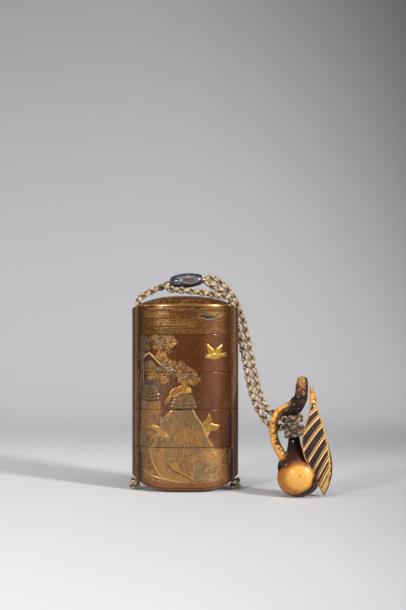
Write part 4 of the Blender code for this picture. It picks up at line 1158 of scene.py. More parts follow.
def shell(name, node, blocks, material, drill=True):
    """Closed loft of ring blocks, with a fan at each end."""
    P = np.concatenate([b[0] for b in blocks])
    col = np.concatenate([b[1] for b in blocks])
    metal = np.concatenate([b[2] for b in blocks])
    rough = np.concatenate([b[3] for b in blocks])
    rows = len(P)
    verts = P.reshape(-1, 3)
    paint = col.reshape(-1, 3)
    finish = np.column_stack([metal.ravel(), rough.ravel(), np.zeros(rows * COUNT)])
    ring = np.arange(COUNT)
    base = np.arange(rows - 1)[:, None] * COUNT + ring[None, :]
    nxt = np.arange(rows - 1)[:, None] * COUNT + (ring[None, :] + 1) % COUNT
    quads = np.stack([base, nxt, nxt + COUNT, base + COUNT], 2).reshape(-1, 4)
    centre_low, centre_high = len(verts), len(verts) + 1
    verts = np.concatenate([verts, [[P[0, :, 0].mean(), P[0, :, 1].mean(), P[0, :, 2].mean()]],
                            [[P[-1, :, 0].mean(), P[-1, :, 1].mean(), P[-1, :, 2].mean()]]])
    paint = np.concatenate([paint, paint[:1], paint[-1:]])
    finish = np.concatenate([finish, finish[:1], finish[-1:]])
    last = (rows - 1) * COUNT
    low = np.stack([np.full(COUNT, centre_low), (ring + 1) % COUNT, ring], 1)
    high = np.stack([np.full(COUNT, centre_high), last + ring, last + (ring + 1) % COUNT], 1)
    obj = build(name, verts, quads, np.concatenate([low, high]), paint=paint, finish=finish, material=material)
    if drill:
        for tool in channel_tools:
            cut = obj.modifiers.new("channel", "BOOLEAN")
            cut.operation = "DIFFERENCE"
            cut.solver = "EXACT"
            cut.object = tool
        deps = bpy.context.evaluated_depsgraph_get()
        made = bpy.data.meshes.new_from_object(obj.evaluated_get(deps))
        obj.modifiers.clear()
        obj.data = made
    obj.data.set_sharp_from_angle(angle=math.radians(50))
    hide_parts(node)
    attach(obj, BODY)
    return obj


def channel_tool(side):
    t = np.linspace(0, 2 * math.pi, 29)[:-1]
    low = np.column_stack([side * CHANNEL_X + 1.75 * np.cos(t), 1.75 * np.sin(t), np.full(28, -5.0)])
    high = low + [0, 0, 105.0]
    ring = np.arange(28)
    quads = np.stack([ring, (ring + 1) % 28, (ring + 1) % 28 + 28, ring + 28], 1)
    caps = [np.stack([np.zeros(26, int), ring[2:], ring[1:-1]], 1), np.stack([np.full(26, 28), ring[1:-1] + 28, ring[2:] + 28], 1)]
    dark = np.tile(rgb(40, 22, 12), (56, 1))
    return build(f"channel_{side}", np.concatenate([low, high]), quads, np.concatenate(caps), paint=dark,
                 finish=np.tile([0.0, 0.5, 0.0], (56, 1)), material=lacquer, smooth=False)


channel_tools = [channel_tool(-1), channel_tool(1)]


def picture_front(c):
    ground(c)
    front_picture(c)


def picture_back(c):
    ground(c)
    back_picture(c)


def lens_ring(k, z, **how):
    return plain(inner(HALF_W * k, HALF_T * k), z, **how)


for index in range(4):
    top = SEAMS[index] - SEAM_HALF
    if index == 0:
        rise = base_rise(XY[:, 0])
        runner_low = 4.4 + 2.6 * (np.abs(XY[:, 0]) - GROOVE_X) / 3.55 - 1.9
        rise = np.where(np.abs(XY[:, 0]) > GROOVE_X, np.minimum(np.maximum(runner_low, rise * 0.8), 5.4), rise)
        body = wall(1.9, top, picture_front, picture_back, curve_low=rise, round_low=0.4)
        under = []
        for k, lift in ((0.42, 0.0), (0.62, 0.25), (0.8, 0.65), (0.94, 1.15), (0.985, 1.62)):
            xy = inner(HALF_W * k, HALF_T * k)
            under.append(plain(xy, base_rise(xy[:, 0]) * smoothstep(0.3, 1.0, k) * k + lift, (120, 72, 36)))
        blocks = under + [body]
        floor = 4.8
    else:
        below = SEAMS[index - 1]
        ceiling = plain(inner(*RECESS), below + RISER_H + 0.4, (86, 46, 20))
        mouth = plain(inner(*RECESS), below + SEAM_HALF, (86, 46, 20))
        body = wall(below + SEAM_HALF, top, picture_front, picture_back)
        blocks = [ceiling] + crease(ceiling, mouth) + [mouth] + crease(mouth, body) + [body]
        floor = below + RISER_H + 0.4 + FLOOR
    foot = plain(inner(*RISER), top, (120, 78, 36))
    head = plain(inner(*RISER), SEAMS[index] + RISER_H - 0.3, (120, 78, 36))
    lip = plain(inner(RISER[0] - 0.3, RISER[1] - 0.3), SEAMS[index] + RISER_H, (150, 104, 52))
    rim = plain(inner(*CAVITY), SEAMS[index] + RISER_H, (150, 104, 52))
    deep = plain(inner(CAVITY[0] - 0.25, CAVITY[1] - 0.25), floor + 1.0, (110, 62, 26))
    bottom = plain(inner(CAVITY[0] - 0.6, CAVITY[1] - 0.6), floor, (110, 62, 26))
    blocks += crease(body, foot) + [foot] + crease(foot, head) + [head, lip] + crease(lip, rim) + [rim] + crease(rim, deep) + [deep, bottom]
    shell(f"tier_{4 - index}", f"case_{4 - index}", blocks, lacquer)

# The lid: socket, wall, rounded shoulder and dome.
below = SEAMS[3]
lid_wall = wall(below + SEAM_HALF, 83.35, front_lid, back_lid, round_top=0.01)
outside = np.abs(XY[:, 0]) > GROOVE_X
drop = 83.7 - 1.3 * np.clip((np.abs(XY[:, 0]) - 22.2) / 2.2, 0, 1)
low_top = np.where(outside & ~ON_PANEL, drop - 0.05, 83.35)
P, col, metal, rough = lid_wall
rows = len(P)
# Lower the runners' tops to their slope.
t = (P[:, :, 2] - P[0, :, 2]) / (P[-1, :, 2] - P[0, :, 2])
P[:, :, 2] = P[0, :, 2] + t * (np.minimum(low_top, 83.6) - P[0, :, 2])
start = P[-1]
k_in = 0.952
meet_xy = inner(HALF_W * k_in, HALF_T * k_in)
meet = np.column_stack([meet_xy, dome_z(meet_xy) - 0.06])
corner = np.where((~ON_PANEL)[:, None], (start + meet) / 2,
                  np.column_stack([start[:, :2] * 0.999, np.full(COUNT, 84.10)]))
shoulder = []
last_col = col[-1:]
for s in np.linspace(0, 1, 9)[1:]:
    ring = start * (1 - s) ** 2 + 2 * corner * s * (1 - s) + meet * s * s
    # Painted highlight: the shoulder rings are brightened in the middle of the rounding, with more metal and less
    # roughness, and a pale gilt line is laid over them.
    shine = 0.45 * math.sin(math.pi * s)
    shoulder.append((ring[None], (last_col * (1 - 0.25 * s) + rgb(120, 74, 40) * 0.25 * s) * (1 + 0.5 * shine) + rgb(196, 140, 80) * 0.35 * shine,
                     metal[-1:] + shine, rough[-1:] - 0.04 * math.sin(math.pi * s)))
    shoulder_highlight = 0.60 * math.exp(-((s - 0.5) / 0.20) ** 2)
    shoulder[-1] = (shoulder[-1][0], shoulder[-1][1] * (1 - shoulder_highlight) + rgb(240, 190, 116) * shoulder_highlight, shoulder[-1][2], shoulder[-1][3])
dome = []
for k in (0.93, 0.88, 0.82, 0.75, 0.67, 0.58, 0.48, 0.37, 0.25, 0.12):
    xy = inner(HALF_W * k, HALF_T * k)
    ring = plain(xy, dome_z(xy) - 0.06, (118, 72, 38), metal=0.35, rough=0.27)
    streak = fractal(xy[:, 0] * 0.4 + 4, xy[:, 1] * 1.3, 231, 3)
    flake = smoothstep(0.66, 0.86, noise2(xy[:, 0] * 1.8, xy[:, 1] * 1.8, 233))
    tone = rgb(88, 46, 14) * (0.75 + 0.5 * streak)[:, None]
    tone = tone + (rgb(190, 140, 76) - tone) * (0.55 * flake)[:, None]
    dome.append((ring[0], tone[None], ring[2], ring[3]))
ceiling = plain(inner(RECESS[0] - 2.0, RECESS[1] - 2.0), 81.0, (86, 46, 20))
soft = plain(inner(*RECESS), 79.4, (86, 46, 20))
mouth = plain(inner(*RECESS), below + SEAM_HALF, (86, 46, 20))
blocks = [ceiling, soft] + crease(soft, mouth) + [mouth] + crease(mouth, lid_wall) + [(P, col, metal, rough)] + shoulder + dome
shell("tier_lid", "lid", blocks, lacquer)
for tool in channel_tools:
    bpy.data.objects.remove(tool)


# ------------------------------------------------------------------ bead
bead_gloss = painted("dark_agate", coat=0.5, coat_rough=0.04, bump=0.05, bump_scale=900.0)


def make_bead():
    rings_n, sides = ((130, 190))
    left, right = -6.85, 7.65
    a = 2 * math.pi * np.arange(sides) / sides
    P, col, metal, rough = [], [], [], []
    eye_c, eye_a, eye_b = (2.0, 95.45), 4.1, 1.85
    for k in range(rings_n):
        t = k / (rings_n - 1)
        x = left + (right - left) * (0.5 - 0.5 * math.cos(math.pi * t))
        u = (x - left) / (right - left)
        swell = math.sin(math.pi * min(1.0, max(0.0, u)) ** 0.92) ** 0.62 if 0 < u < 1 else 0.0
        mid = 93.95 + 1.35 * u ** 0.7
        half_h, half_w = 2.05 + 1.50 * swell, 3.1 + 1.8 * swell
        y, z = half_w * np.cos(a), mid + 0.3 + half_h * np.sin(a)
        pts = np.column_stack([np.full(sides, x), y, z])
        # The oval cartouche on the front, with a raised rim.
        e = np.hypot((x - eye_c[0]) / eye_a, (z - eye_c[1]) / eye_b)
        front = y < 0
        rim = np.exp(-((e - 1.0) / 0.055) ** 2) * front * (0.55 + 0.45 * np.cos(3 * np.arctan2(z - eye_c[1], x - eye_c[0] + 1e-6)) ** 2)
        hollow = smoothstep(1.0, 0.8, e) * front
        pupil = 0.0 * e
        second = np.exp(-((e - 0.74) / 0.05) ** 2) * front
        base = rgb(52, 54, 64) * (0.7 + 0.6 * fractal(np.full(sides, x) * 0.5, a * 3, 301, 3))[:, None]
        vein = smoothstep(0.60, 0.74, fractal(np.full(sides, x) * 0.9 + a, a * 5, 305, 2))[:, None]
        base = base + (rgb(120, 122, 134) - base) * 0.5 * vein
        base = base * (1 - hollow[:, None]) + rgb(88, 74, 72) * (0.8 + 0.5 * fractal(np.full(sides, x) * 2.2, z * 2.6, 307, 2))[:, None] * hollow[:, None]
        base = base * (1 - 0.45 * second[:, None]) + rgb(150, 146, 148) * 0.45 * second[:, None]
        base = base * (1 - rim[:, None]) + rgb(176, 180, 188) * rim[:, None]
        base = base * (1 - 0.8 * pupil[:, None]) + rgb(56, 44, 44) * 0.8 * pupil[:, None]
        push = -0.12 + 0.12 * rim - 0.14 * hollow + 0.12 * pupil
        norm = np.column_stack([np.zeros(sides), np.cos(a) / half_w, np.sin(a) / half_h])
        norm /= np.linalg.norm(norm, axis=1)[:, None]
        P.append(pts + norm * push[:, None])
        col.append(base)
        metal.append(0.15 + 0.45 * rim)
        rough.append(np.full(sides, 0.24))
    for k in range(7):
        u = 1 - k / 6
        x = left + (right - left) * u
        mid = 93.95 + 1.35 * u ** 0.7
        w, h = super_xy(2.8, 1.45, 2.6, a)
        P.append(np.column_stack([np.full(sides, x), w, mid + h]))
        col.append(np.tile(rgb(40, 38, 44), (sides, 1)))
        metal.append(np.zeros(sides))
        rough.append(np.full(sides, 0.4))
    P = np.array(P)
    rows = len(P)
    ring = np.arange(sides)
    row = np.arange(rows)
    base = row[:, None] * sides + ring[None, :]
    nxt = row[:, None] * sides + (ring[None, :] + 1) % sides
    up = ((row + 1) % rows)[:, None] * sides
    quads = np.stack([base, up + ring[None, :], up + (ring[None, :] + 1) % sides, nxt], 2).reshape(-1, 4)
    finish = np.column_stack([np.concatenate(metal), np.concatenate(rough), np.zeros(rows * sides)])
    obj = build("bead", P.reshape(-1, 3), quads, paint=np.concatenate(col), finish=finish, material=bead_gloss)
    obj.data.set_sharp_from_angle(angle=math.radians(50))
    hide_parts("ojime")
    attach(obj, BODY)
    return obj


bead = make_bead()


# ------------------------------------------------------------------ toggle
TOGGLE_Y = -24.0
STEM = [(51.6, 0, 50.6, 2.5), (51.4, 0, 48.6, 2.85), (51.2, 0, 45.6, 2.95), (50.7, 0, 42.9, 3.15),
        (49.0, 0, 40.3, 3.55), (47.4, 0.3, 37.3, 3.3), (47.6, 0.6, 33.6, 2.3), (47.9, 0.6, 29.0, 2.3),
        (48.0, 0.3, 24.6, 2.7), (48.2, 0, 20.6, 3.6), (48.6, 0, 16.6, 5.4)]
LOOP = [(50.6, 0, 41.4, 2.2), (48.3, 0, 40.5, 2.0), (45.2, 0, 39.5, 1.8), (42.0, 0, 37.7, 1.85),
        (39.9, 0, 34.7, 1.95), (39.1, 0, 31.0, 2.05), (39.15, 0, 26.7, 2.05), (40.3, 0, 22.8, 2.1),
        (42.2, 0, 19.3, 2.2), (44.4, 0, 15.6, 2.2)]
LEAF = np.array([(48.0, 54.7, 56.3), (44.2, 54.6, 57.3), (40.6, 54.5, 58.1), (36.5, 54.0, 59.2),
                 (33.0, 52.6, 60.4), (28.8, 51.2, 61.5), (24.8, 50.6, 62.5), (21.0, 51.0, 63.5),
                 (17.5, 52.0, 64.4), (13.8, 54.2, 64.8), (9.9, 56.2, 64.7), (5.6, 58.2, 63.7),
                 (2.4, 59.8, 62.4), (0.8, 60.7, 61.6)])
antler = painted("polished_antler", coat=0.20, spec=0.2, coat_rough=0.07, bump=0.12, bump_scale=1400.0, sss=0.0)


def tube_rings(points, sides=20, pitch=0.5):
    route = smooth_route([(x, y + TOGGLE_Y, z, r) for x, y, z, r in points], pitch)
    _, side, up = frames_along(route[:, :3])
    t = 2 * math.pi * np.arange(sides) / sides
    rings = [route[i, :3] + (side[i] * np.cos(t)[:, None] + up[i] * np.sin(t)[:, None]) * (route[i, 3] - 0.1)
             for i in range(len(route))]
    return route, rings


def leaf_middle(z):
    t = (48.0 - z) / 47.2
    return TOGGLE_Y + 0.3 - 4.6 * np.clip(np.sin(math.pi * np.minimum(1.0, t * 1.02)), 0, 1) ** 0.8


def make_toggle():
    verts, quads, ngons = [], [], []
    stem_route, stem = tube_rings(STEM)
    loop_route, loop = tube_rings(LOOP)
    zs = np.linspace(48.0, 0.85, 60)
    leaf = []
    for z in zs:
        x0 = np.interp(-z, -LEAF[:, 0], LEAF[:, 1])
        x1 = np.interp(-z, -LEAF[:, 0], LEAF[:, 2])
        half = (x1 - x0) / 2
        thick = 1.0 if half > 1.2 else max(0.45, half * 0.85)
        w, d = super_xy(half - 0.1, thick, 2.4, 2 * math.pi * np.arange(28) / 28)
        leaf.append(np.column_stack([(x0 + x1) / 2 + w, leaf_middle(z) + d + w * math.tan(math.radians(18)), np.full(28, z)]))
    shift = 0
    faces = []
    for rings in (stem, loop, leaf):
        rings = np.array(rings)
        n = rings.shape[1]
        verts.append(rings.reshape(-1, 3))
        for i in range(len(rings) - 1):
            for k in range(n):
                faces.append((shift + i * n + k, shift + i * n + (k + 1) % n, shift + (i + 1) * n + (k + 1) % n, shift + (i + 1) * n + k))
        faces.append(tuple(shift + k for k in range(n)))
        faces.append(tuple(shift + (len(rings) - 1) * n + k for k in range(n)))
        shift += rings.shape[0] * n
    for centre, shape in (((50.0, TOGGLE_Y, 9.4), "bulb"), ((51.55, TOGGLE_Y, 50.4), "tip"), ((46.0, TOGGLE_Y, 13.0), "shoulder"),
                          ((45.7, TOGGLE_Y + 0.2, 37.6), "burl")):
        rows, n = (40, 56) if shape == "bulb" else (20, 28)
        for i in range(rows + 1):
            lat = math.pi * i / rows
            for k in range(n):
                lon = 2 * math.pi * k / n
                x, y, z = math.sin(lat) * math.cos(lon), math.sin(lat) * math.sin(lon), math.cos(lat)
                if shape == "bulb":
                    wide = 9.35 * (1 - 0.10 * z)
                    verts.append([(centre[0] + x * wide, centre[1] + y * 7.9, centre[2] + z * 9.3)])
                elif shape == "shoulder":
                    verts.append([(centre[0] + x * 5.3, centre[1] + y * 4.9, centre[2] + z * 5.6)])
                elif shape == "burl":
                    verts.append([(centre[0] + x * 3.3, centre[1] + y * 2.3, centre[2] + z * 2.5)])
                else:
                    verts.append([(centre[0] + x * 2.5, centre[1] + y * 2.5, centre[2] + z * 2.5)])
        for i in range(rows):
            for k in range(n):
                faces.append((shift + i * n + k, shift + (i + 1) * n + k, shift + (i + 1) * n + (k + 1) % n, shift + i * n + (k + 1) % n))
        shift += (rows + 1) * n
    mesh = bpy.data.meshes.new("toggle_rough")
    mesh.from_pydata([tuple(v) for v in np.concatenate(verts) * MM], [], faces)
    mesh.update()
    rough = bpy.data.objects.new("toggle_rough", mesh)
    bpy.context.scene.collection.objects.link(rough)
    grow = rough.modifiers.new("grow", "REMESH")
    grow.mode = "VOXEL"
    grow.voxel_size = 0.21 * MM
    deps = bpy.context.evaluated_depsgraph_get()
    made = bpy.data.meshes.new_from_object(rough.evaluated_get(deps))
    n = len(made.vertices)
    V = np.empty(n * 3)
    made.vertices.foreach_get("co", V)
    V = V.reshape(-1, 3) / MM
    N = np.empty(n * 3)
    made.vertex_normals.foreach_get("vector", N)
    N = N.reshape(-1, 3)
    F = np.empty(len(made.polygons) * 4, np.int32)
    made.polygons.foreach_get("vertices", F)
    F = F.reshape(-1, 4)
    bpy.data.objects.remove(rough)
    bpy.data.meshes.remove(made)

    # Smooth the voxel steps a little.
    edges = np.concatenate([F[:, [0, 1]], F[:, [1, 2]], F[:, [2, 3]], F[:, [3, 0]]])
    for factor in (0.5, -0.52) * 4:
        total = np.zeros_like(V)
        amount = np.zeros(n)
        for a, b in ((0, 1), (1, 0)):
            np.add.at(total, edges[:, a], V[edges[:, b]])
            np.add.at(amount, edges[:, a], 1.0)
        V = V + factor * (total / amount[:, None] - V)

    def near_tube(route):
        best, share, out = np.full(n, 1e9), np.zeros(n), np.zeros(n)
        for i in range(0, len(route) - 1):
            a, b = route[i], route[i + 1]
            e = b[:3] - a[:3]
            w = V - a[:3]
            t = np.clip((w @ e) / (e @ e), 0, 1)
            d = np.linalg.norm(w - t[:, None] * e, axis=1) - (a[3] + (b[3] - a[3]) * t)
            near = d < best
            best = np.where(near, d, best)
            share = np.where(near, (i + t) / (len(route) - 1), share)
            middle = a[:3] + t[:, None] * e
            away = np.column_stack([middle[:, 0] - 47.0, middle[:, 2] - 30.0])
            away /= np.linalg.norm(away, axis=1)[:, None]
            out = np.where(near, ((V[:, [0, 2]] - middle[:, [0, 2]]) * away).sum(1) / (a[3] + (b[3] - a[3]) * t), out)
        return best, share, out

    x, y, z = V.T
    d_stem, s_stem, _ = near_tube(stem_route)
    d_loop, s_loop, o_loop = near_tube(loop_route)
    q = np.column_stack([(x - 50.0) / 9.45, (y - TOGGLE_Y) / 8.0, (z - 9.4) / 9.4])
    size = np.linalg.norm(q, axis=1)
    d_bulb = np.abs(size - 1) * 8.6
    knob = np.linalg.norm(np.column_stack([(x - 46.0) / 5.3, (y - TOGGLE_Y) / 4.9, (z - 13.0) / 5.6]), axis=1)
    d_bulb = np.minimum(d_bulb, np.abs(knob - 1) * 5.0)
    burl = np.linalg.norm(np.column_stack([(x - 45.7) / 3.3, (y - TOGGLE_Y - 0.2) / 2.3, (z - 37.6) / 2.5]), axis=1)
    d_stem = np.minimum(np.abs(d_stem), np.abs(burl - 1) * 2.5)
    d_tip = np.abs(np.linalg.norm(V - [51.55, TOGGLE_Y, 50.4], axis=1) - 2.5)
    lx0 = np.interp(-z, -LEAF[:, 0], LEAF[:, 1])
    lx1 = np.interp(-z, -LEAF[:, 0], LEAF[:, 2])
    leaf_y = leaf_middle(z) + (x - (lx0 + lx1) / 2) * math.tan(math.radians(18))
    off = y - leaf_y
    d_leaf = np.maximum.reduce([np.abs(off) - 1.0, lx0 - 0.3 - x, x - lx1 - 0.3, z - 48.5])
    d_leaf = np.abs(d_leaf) + np.where((x > lx0 - 0.4) & (x < lx1 + 0.4) & (np.abs(off) < 1.6), 0.0, 3.0)
    score = np.stack([np.abs(d_stem), np.abs(d_loop), d_bulb, d_tip, d_leaf])
    weight = np.exp(-score / 0.28)
    weight /= weight.sum(0)

    def blotch(scale, seed, stretch=1.0):
        return 0.5 * (fractal(x * scale, z * scale * stretch + y * scale * 0.7, seed, 3) + fractal(y * scale + 9, z * scale * stretch - x * 0.3 * scale, seed + 1, 3))

    # Stem: almost black twig below, purple-brown and gold-flecked above.
    fine = blotch(1.6, 401)
    upper = smoothstep(43.8, 45.6, z)[:, None]
    stem_low = rgb(26, 14, 8) * (0.7 + 0.9 * blotch(0.9, 403, 0.4))[:, None]
    stem_low = stem_low + (rgb(190, 120, 50) - stem_low) * (0.35 * smoothstep(0.62, 0.72, fine))[:, None]
    stem_high = rgb(120, 76, 66) * (0.7 + 0.5 * blotch(0.8, 405))[:, None]
    stem_high = stem_high + (rgb(236, 176, 96) - stem_high) * (0.8 * smoothstep(0.52, 0.60, fine))[:, None]
    shadow = smoothstep(51.6, 53.6, x)[:, None] * upper
    stem_high = stem_high * (1 - 0.8 * shadow) + rgb(56, 22, 14) * 0.8 * shadow
    c_stem = stem_low * (1 - upper) + stem_high * upper
    neck = smoothstep(24.0, 18.0, z)[:, None]
    c_stem = c_stem * (1 - 0.6 * neck) + rgb(92, 40, 16) * 0.6 * neck

    # Loop of vine: pale gold with dark pits, denser along the inside, and on the upper loop painted shade darkening the
    # inner side together with the pits.
    inward = smoothstep(0.55, -0.75, o_loop)
    pits_and_inner_shade = smoothstep(0.60 - 0.25 * inward, 0.67 - 0.25 * inward, blotch(0.85, 411, 1.3))
    pits_and_inner_shade = np.maximum(pits_and_inner_shade, smoothstep(0.35, -0.10, o_loop + 0.5 * (blotch(1.0, 417) - 0.5)) * smoothstep(29.0, 35.0, z))
    streak = smoothstep(0.5, 0.7, fractal(s_loop * 60, np.arctan2(y - TOGGLE_Y, x - 44.0) * 3, 413, 2))
    c_loop = rgb(232, 176, 84) * (0.82 + 0.4 * blotch(0.6, 415))[:, None]
    c_loop = c_loop * (1 - 0.55 * streak[:, None]) + rgb(176, 96, 34) * 0.55 * streak[:, None]
    c_loop = c_loop * (1 - 0.85 * pits_and_inner_shade[:, None]) + rgb(64, 30, 16) * 0.85 * pits_and_inner_shade[:, None]

    # Gourd: bright gold in the middle, amber ring, then painted shade darkening towards the outline as seen from the
    # front, more to the right and below, mixed with dark patches.
    reach = np.hypot((x - 49.7) / 9.4, (z - 9.3) / 9.2)
    patch = blotch(0.32, 421)
    c_bulb = rgb(246, 194, 88) * (0.9 + 0.2 * blotch(1.2, 423))[:, None]
    amber = smoothstep(0.46, 0.72, reach + 0.25 * (patch - 0.5))[:, None]
    c_bulb = c_bulb * (1 - amber) + rgb(204, 132, 46) * amber
    outline_shade_and_patches = smoothstep(0.66, 0.84, reach + 0.5 * (patch - 0.5) + 0.27 * smoothstep(-3, 8, x - 50.0) - 0.14 * smoothstep(0, -7, x - 50.0) + 0.06 * smoothstep(7, 1, z) - 0.10)[:, None]
    c_bulb = c_bulb * (1 - outline_shade_and_patches) + rgb(48, 22, 20) * outline_shade_and_patches
    crown = (smoothstep(13.2, 17.6, z + 1.6 * (patch - 0.5)) * 0.92)[:, None]
    c_bulb = c_bulb * (1 - crown) + rgb(92, 38, 22) * crown
    corner = (smoothstep(5.4, 3.4, np.hypot(x - 41.8, (z - 16.2) * 1.15) + 2.0 * (patch - 0.5)) * 0.9)[:, None]
    c_bulb = c_bulb * (1 - corner) + rgb(44, 20, 16) * corner
    fleck = smoothstep(0.60, 0.68, blotch(0.9, 425))[:, None]
    c_bulb = c_bulb * (1 - 0.5 * fleck) + rgb(150, 84, 34) * 0.5 * fleck
    back_side = smoothstep(TOGGLE_Y - 1, TOGGLE_Y + 3, y)[:, None]
    c_bulb = c_bulb * (1 - 0.5 * back_side) + rgb(190, 128, 56) * 0.5 * back_side

    c_tip = rgb(240, 184, 92) * (0.7 + 0.6 * blotch(0.9, 431))[:, None]
    c_tip = c_tip + (rgb(110, 60, 44) - c_tip) * (0.7 * smoothstep(0.48, 0.6, blotch(1.1, 433)))[:, None]
    # Painted shade: the right side of the tip is darkened.
    dark_tip = smoothstep(51.9, 53.4, x)[:, None]
    c_tip = c_tip * (1 - 0.85 * dark_tip) + rgb(54, 22, 14) * 0.85 * dark_tip

    # Leaf: ribs running down and to the left from a midrib near the right edge.
    half = np.maximum((lx1 - lx0) / 2, 0.3)
    fold = np.clip(0.2 + 1.0 * smoothstep(27.0, 12.0, z), 0, 1.2)
    xm = lx1 - 0.35 - fold
    rib = np.zeros(n)
    line = np.zeros(n)
    valley = np.full(n, 9.0)
    for z0, slope in ((43.2, 0.5), (39.2, 0.75), (35.7, 0.85), (31.8, 1.0), (27.1, 1.15), (22.4, 1.3), (18.6, 1.45), (15.0, 1.6), (11.9, 1.7), (8.6, 1.9)):
        xr = np.interp(-z0, -LEAF[:, 0], LEAF[:, 2]) - 0.6
        run = xr - x
        zline = z0 - slope * run - 0.035 * np.clip(run, 0, 20) ** 2 * slope
        d = (z - zline) / np.sqrt(1 + slope * slope)
        ok = smoothstep(-0.2, 0.3, run)
        width = 0.30
        rib = np.maximum(rib, ok * smoothstep(width + 0.16, width - 0.10, np.abs(d + 0.30 * slope / 1.4)))
        second = ok * smoothstep(0.26, 0.12, np.abs(d - 0.72))
        rib = np.maximum(rib, 0.75 * second)
        line = np.maximum(line, ok * smoothstep(0.20, 0.08, np.abs(d - 0.36)))
    mid_rib = smoothstep(0.46, 0.26, np.abs(x - xm))
    border = smoothstep(0.72, 0.46, x - lx0)
    folded = smoothstep(0.0, 0.35, x - xm - 0.35)
    front = smoothstep(0.2, -0.4, off)
    ground_leaf = rgb(54, 28, 32) * (0.75 + 0.5 * blotch(0.8, 441))[:, None]
    c_leaf = ground_leaf * (1 - rib[:, None]) + rgb(250, 210, 136) * 1.25 * rib[:, None]
    c_leaf = c_leaf * (1 - 0.75 * line[:, None]) + rgb(66, 34, 22) * 0.75 * line[:, None]
    c_leaf = c_leaf * (1 - mid_rib[:, None]) + rgb(232, 180, 98) * mid_rib[:, None]
    c_leaf = c_leaf * (1 - border[:, None]) + rgb(226, 170, 84) * border[:, None]
    c_leaf = c_leaf * (1 - 0.8 * folded[:, None]) + rgb(70, 32, 18) * 0.8 * folded[:, None]
    stalk = smoothstep(40.2, 42.5, z)[:, None]
    c_stalk = rgb(214, 104, 34) * (0.75 + 0.5 * blotch(1.3, 443))[:, None]
    c_stalk = c_stalk + (rgb(250, 196, 96) - c_stalk) * (0.9 * smoothstep(0.42, 0.56, blotch(1.0, 445)))[:, None]
    c_stalk = c_stalk * (1 - 0.6 * smoothstep(0.58, 0.66, blotch(0.9, 449)))[:, None]
    c_leaf = c_leaf * (1 - stalk) + c_stalk * stalk
    c_back = rgb(206, 148, 74) * (0.75 + 0.5 * blotch(0.5, 447))[:, None]
    c_leaf = c_leaf * front[:, None] + c_back * (1 - front[:, None])

    levels = (np.array([0.48, 0.44, 0.42]), np.array([0.95, 0.90, 0.84]), np.array([0.74, 0.65, 0.68]), np.array([0.60, 0.52, 0.46]),
              np.array([0.64, 0.58, 0.54]))
    colour = sum(w[:, None] * c * k for w, c, k in zip(weight, (c_stem, c_loop, c_bulb, c_tip, c_leaf), levels))
    push = (weight[0] * 0.22 * (blotch(1.1, 451, 0.5) - 0.5) + weight[1] * (0.18 * (blotch(1.2, 453) - 0.5) - 0.12 * pits_and_inner_shade)
            + weight[4] * front * (0.20 * np.maximum(rib, np.maximum(mid_rib, border)) - 0.12 - 0.10 * line) * (1 - stalk[:, 0])
            + weight[3] * 0.2 * (blotch(0.9, 455) - 0.5))
    V = V + N * np.clip(push, -0.3, 0.08)[:, None]
    finish = np.column_stack([np.clip(0.25 * weight[4] * rib + 0.1, 0, 1), 0.48 + 0.20 * weight[0] * (z < 44) - 0.06 * weight[2] + 0.08 * weight[4], np.zeros(n)])
    obj = build("toggle", V, F, paint=np.clip(colour, 0, 1), finish=finish, material=antler)
    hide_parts("netsuke")
    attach(obj, BODY)
    return obj


toggle = make_toggle()


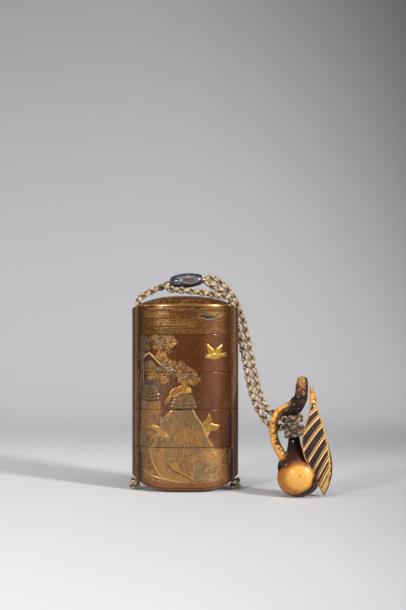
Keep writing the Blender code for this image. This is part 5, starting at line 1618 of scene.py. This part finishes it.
# ------------------------------------------------------------------ table, wall and light
def stage_sheet():
    """A pale sheet that rises behind the object in one wide curve, with painted shade darker up the wall and to the
    right, and painted light on the floor behind the object.
    """
    profile = [(y, 0.0) for y in np.linspace(-1.6, 0.30, 39)]
    for k in range(1, 13):
        t = math.pi / 2 * k / 12
        profile.append((0.30 + 0.22 * math.sin(t), 0.22 - 0.22 * math.cos(t)))
    profile += [(0.52, z) for z in np.linspace(0.26, 2.4, 60)]
    profile = np.array(profile)
    across = np.linspace(-2.2, 2.2, 89)
    gx, gy = np.meshgrid(across, profile[:, 0])
    gz = np.repeat(profile[:, 1:2], len(across), 1)
    up = smoothstep(0.22, 0.36, gy)
    z = np.clip(gz, 0.0, 0.5)
    share = np.clip((gx + 0.05) / 0.24, 0.0, 1.35)
    side = share ** (1.5 + 2.0 * np.clip(1 - z / 0.326, 0, 1))
    # Painted shade on the wall: darker upwards and to the right, lighter just above the floor.
    wall_tone = (0.875 * (0.64 - 0.90 * z) + 0.08 * np.exp(-z / 0.05)) * (1 - np.clip((0.27 + 1.45 * z - 0.5 * z * z) * side, 0, 0.80))
    # Painted light and shade on the floor: lightest just behind the object, darker towards the front, the back and the
    # right.
    floor_tone = np.interp(gy, [-1.6, -0.225, -0.10, 0.0, 0.05, 0.10, 0.137, 0.20, 0.26], [0.72, 0.756, 0.776, 0.78, 0.83, 0.865, 0.84, 0.745, 0.72])
    floor_tone = floor_tone * (1 - 0.10 * smoothstep(-0.08, 0.0, gx) - 0.165 * np.clip(gx * 0.6 / np.maximum(0.6 + gy, 0.3) / 0.087, 0, 1.4) ** 2)
    tone = floor_tone * (1 - up) + wall_tone * up
    tint = rgb(214, 213, 215) * 1.57
    n, m = gx.shape
    row, col = np.arange(n - 1)[:, None] * m, np.arange(m - 1)[None, :]
    quads = np.stack([row + col, row + col + 1, row + m + col + 1, row + m + col], 2).reshape(-1, 4)
    mat = bpy.data.materials.new("backdrop")
    mat.use_nodes = True
    nodes, links = mat.node_tree.nodes, mat.node_tree.links
    bsdf = nodes["Principled BSDF"]
    colour = nodes.new("ShaderNodeAttribute")
    colour.attribute_name = "paint"
    links.new(colour.outputs["Color"], bsdf.inputs["Base Color"])
    bsdf.inputs["Roughness"].default_value = 0.8
    obj = build("backdrop", np.column_stack([gx.ravel(), gy.ravel(), gz.ravel()]) / MM, quads,
                paint=tone.ravel()[:, None] * tint, material=mat)
    return obj


stage_sheet()


def area(name, place, aim, size, power, colour=(1, 1, 1), size_y=None, spread=None):
    data = bpy.data.lights.new(name, "AREA")
    data.energy = power
    data.color = colour
    data.shape = "RECTANGLE" if size_y else "SQUARE"
    data.size = size
    if size_y:
        data.size_y = size_y
    if spread:
        data.spread = math.radians(spread)
    obj = bpy.data.objects.new(name, data)
    bpy.context.scene.collection.objects.link(obj)
    obj.location = place
    direction = Vector(aim) - Vector(place)
    obj.rotation_euler = direction.to_track_quat("-Z", "Y").to_euler()
    return obj


def around(azimuth, elevation, distance, level=0.045):
    """A place seen from the object, azimuth to the right of the camera side."""
    a, e = math.radians(azimuth), math.radians(elevation)
    return (distance * math.cos(e) * math.sin(a), -distance * math.cos(e) * math.cos(a), level + distance * math.sin(e))


AIM = (0.01, 0.0, 0.045)
area("key", around(47, 22, 1.0), AIM, 0.13, 8.6, size_y=0.13)
area("right_panel", around(46, 10, 0.95), AIM, 0.90, 1.3, size_y=0.55)
area("left_box", around(-30, 17, 1.0), AIM, 0.15, 4.2, size_y=0.12)
area("overhead", (-0.12, -0.30, 0.95), (-0.05, -0.10, 0.0), 0.60, 2.1, size_y=0.36)
area("strip", (-0.02, -0.31, 0.95), (0.0, 0.0, 0.08), 1.20, 1.5, size_y=0.035)
area("wall_wash", (-0.75, -0.05, 0.30), (0.0, 0.40, 0.18), 0.35, 0.8, size_y=0.35)

world = bpy.data.worlds.new("studio")
world.use_nodes = True
world.node_tree.nodes["Background"].inputs["Color"].default_value = (*rgb(196, 200, 208), 1.0)
world.node_tree.nodes["Background"].inputs["Strength"].default_value = 0.065
bpy.context.scene.world = world
bpy.context.scene.view_settings.view_transform = "Standard"
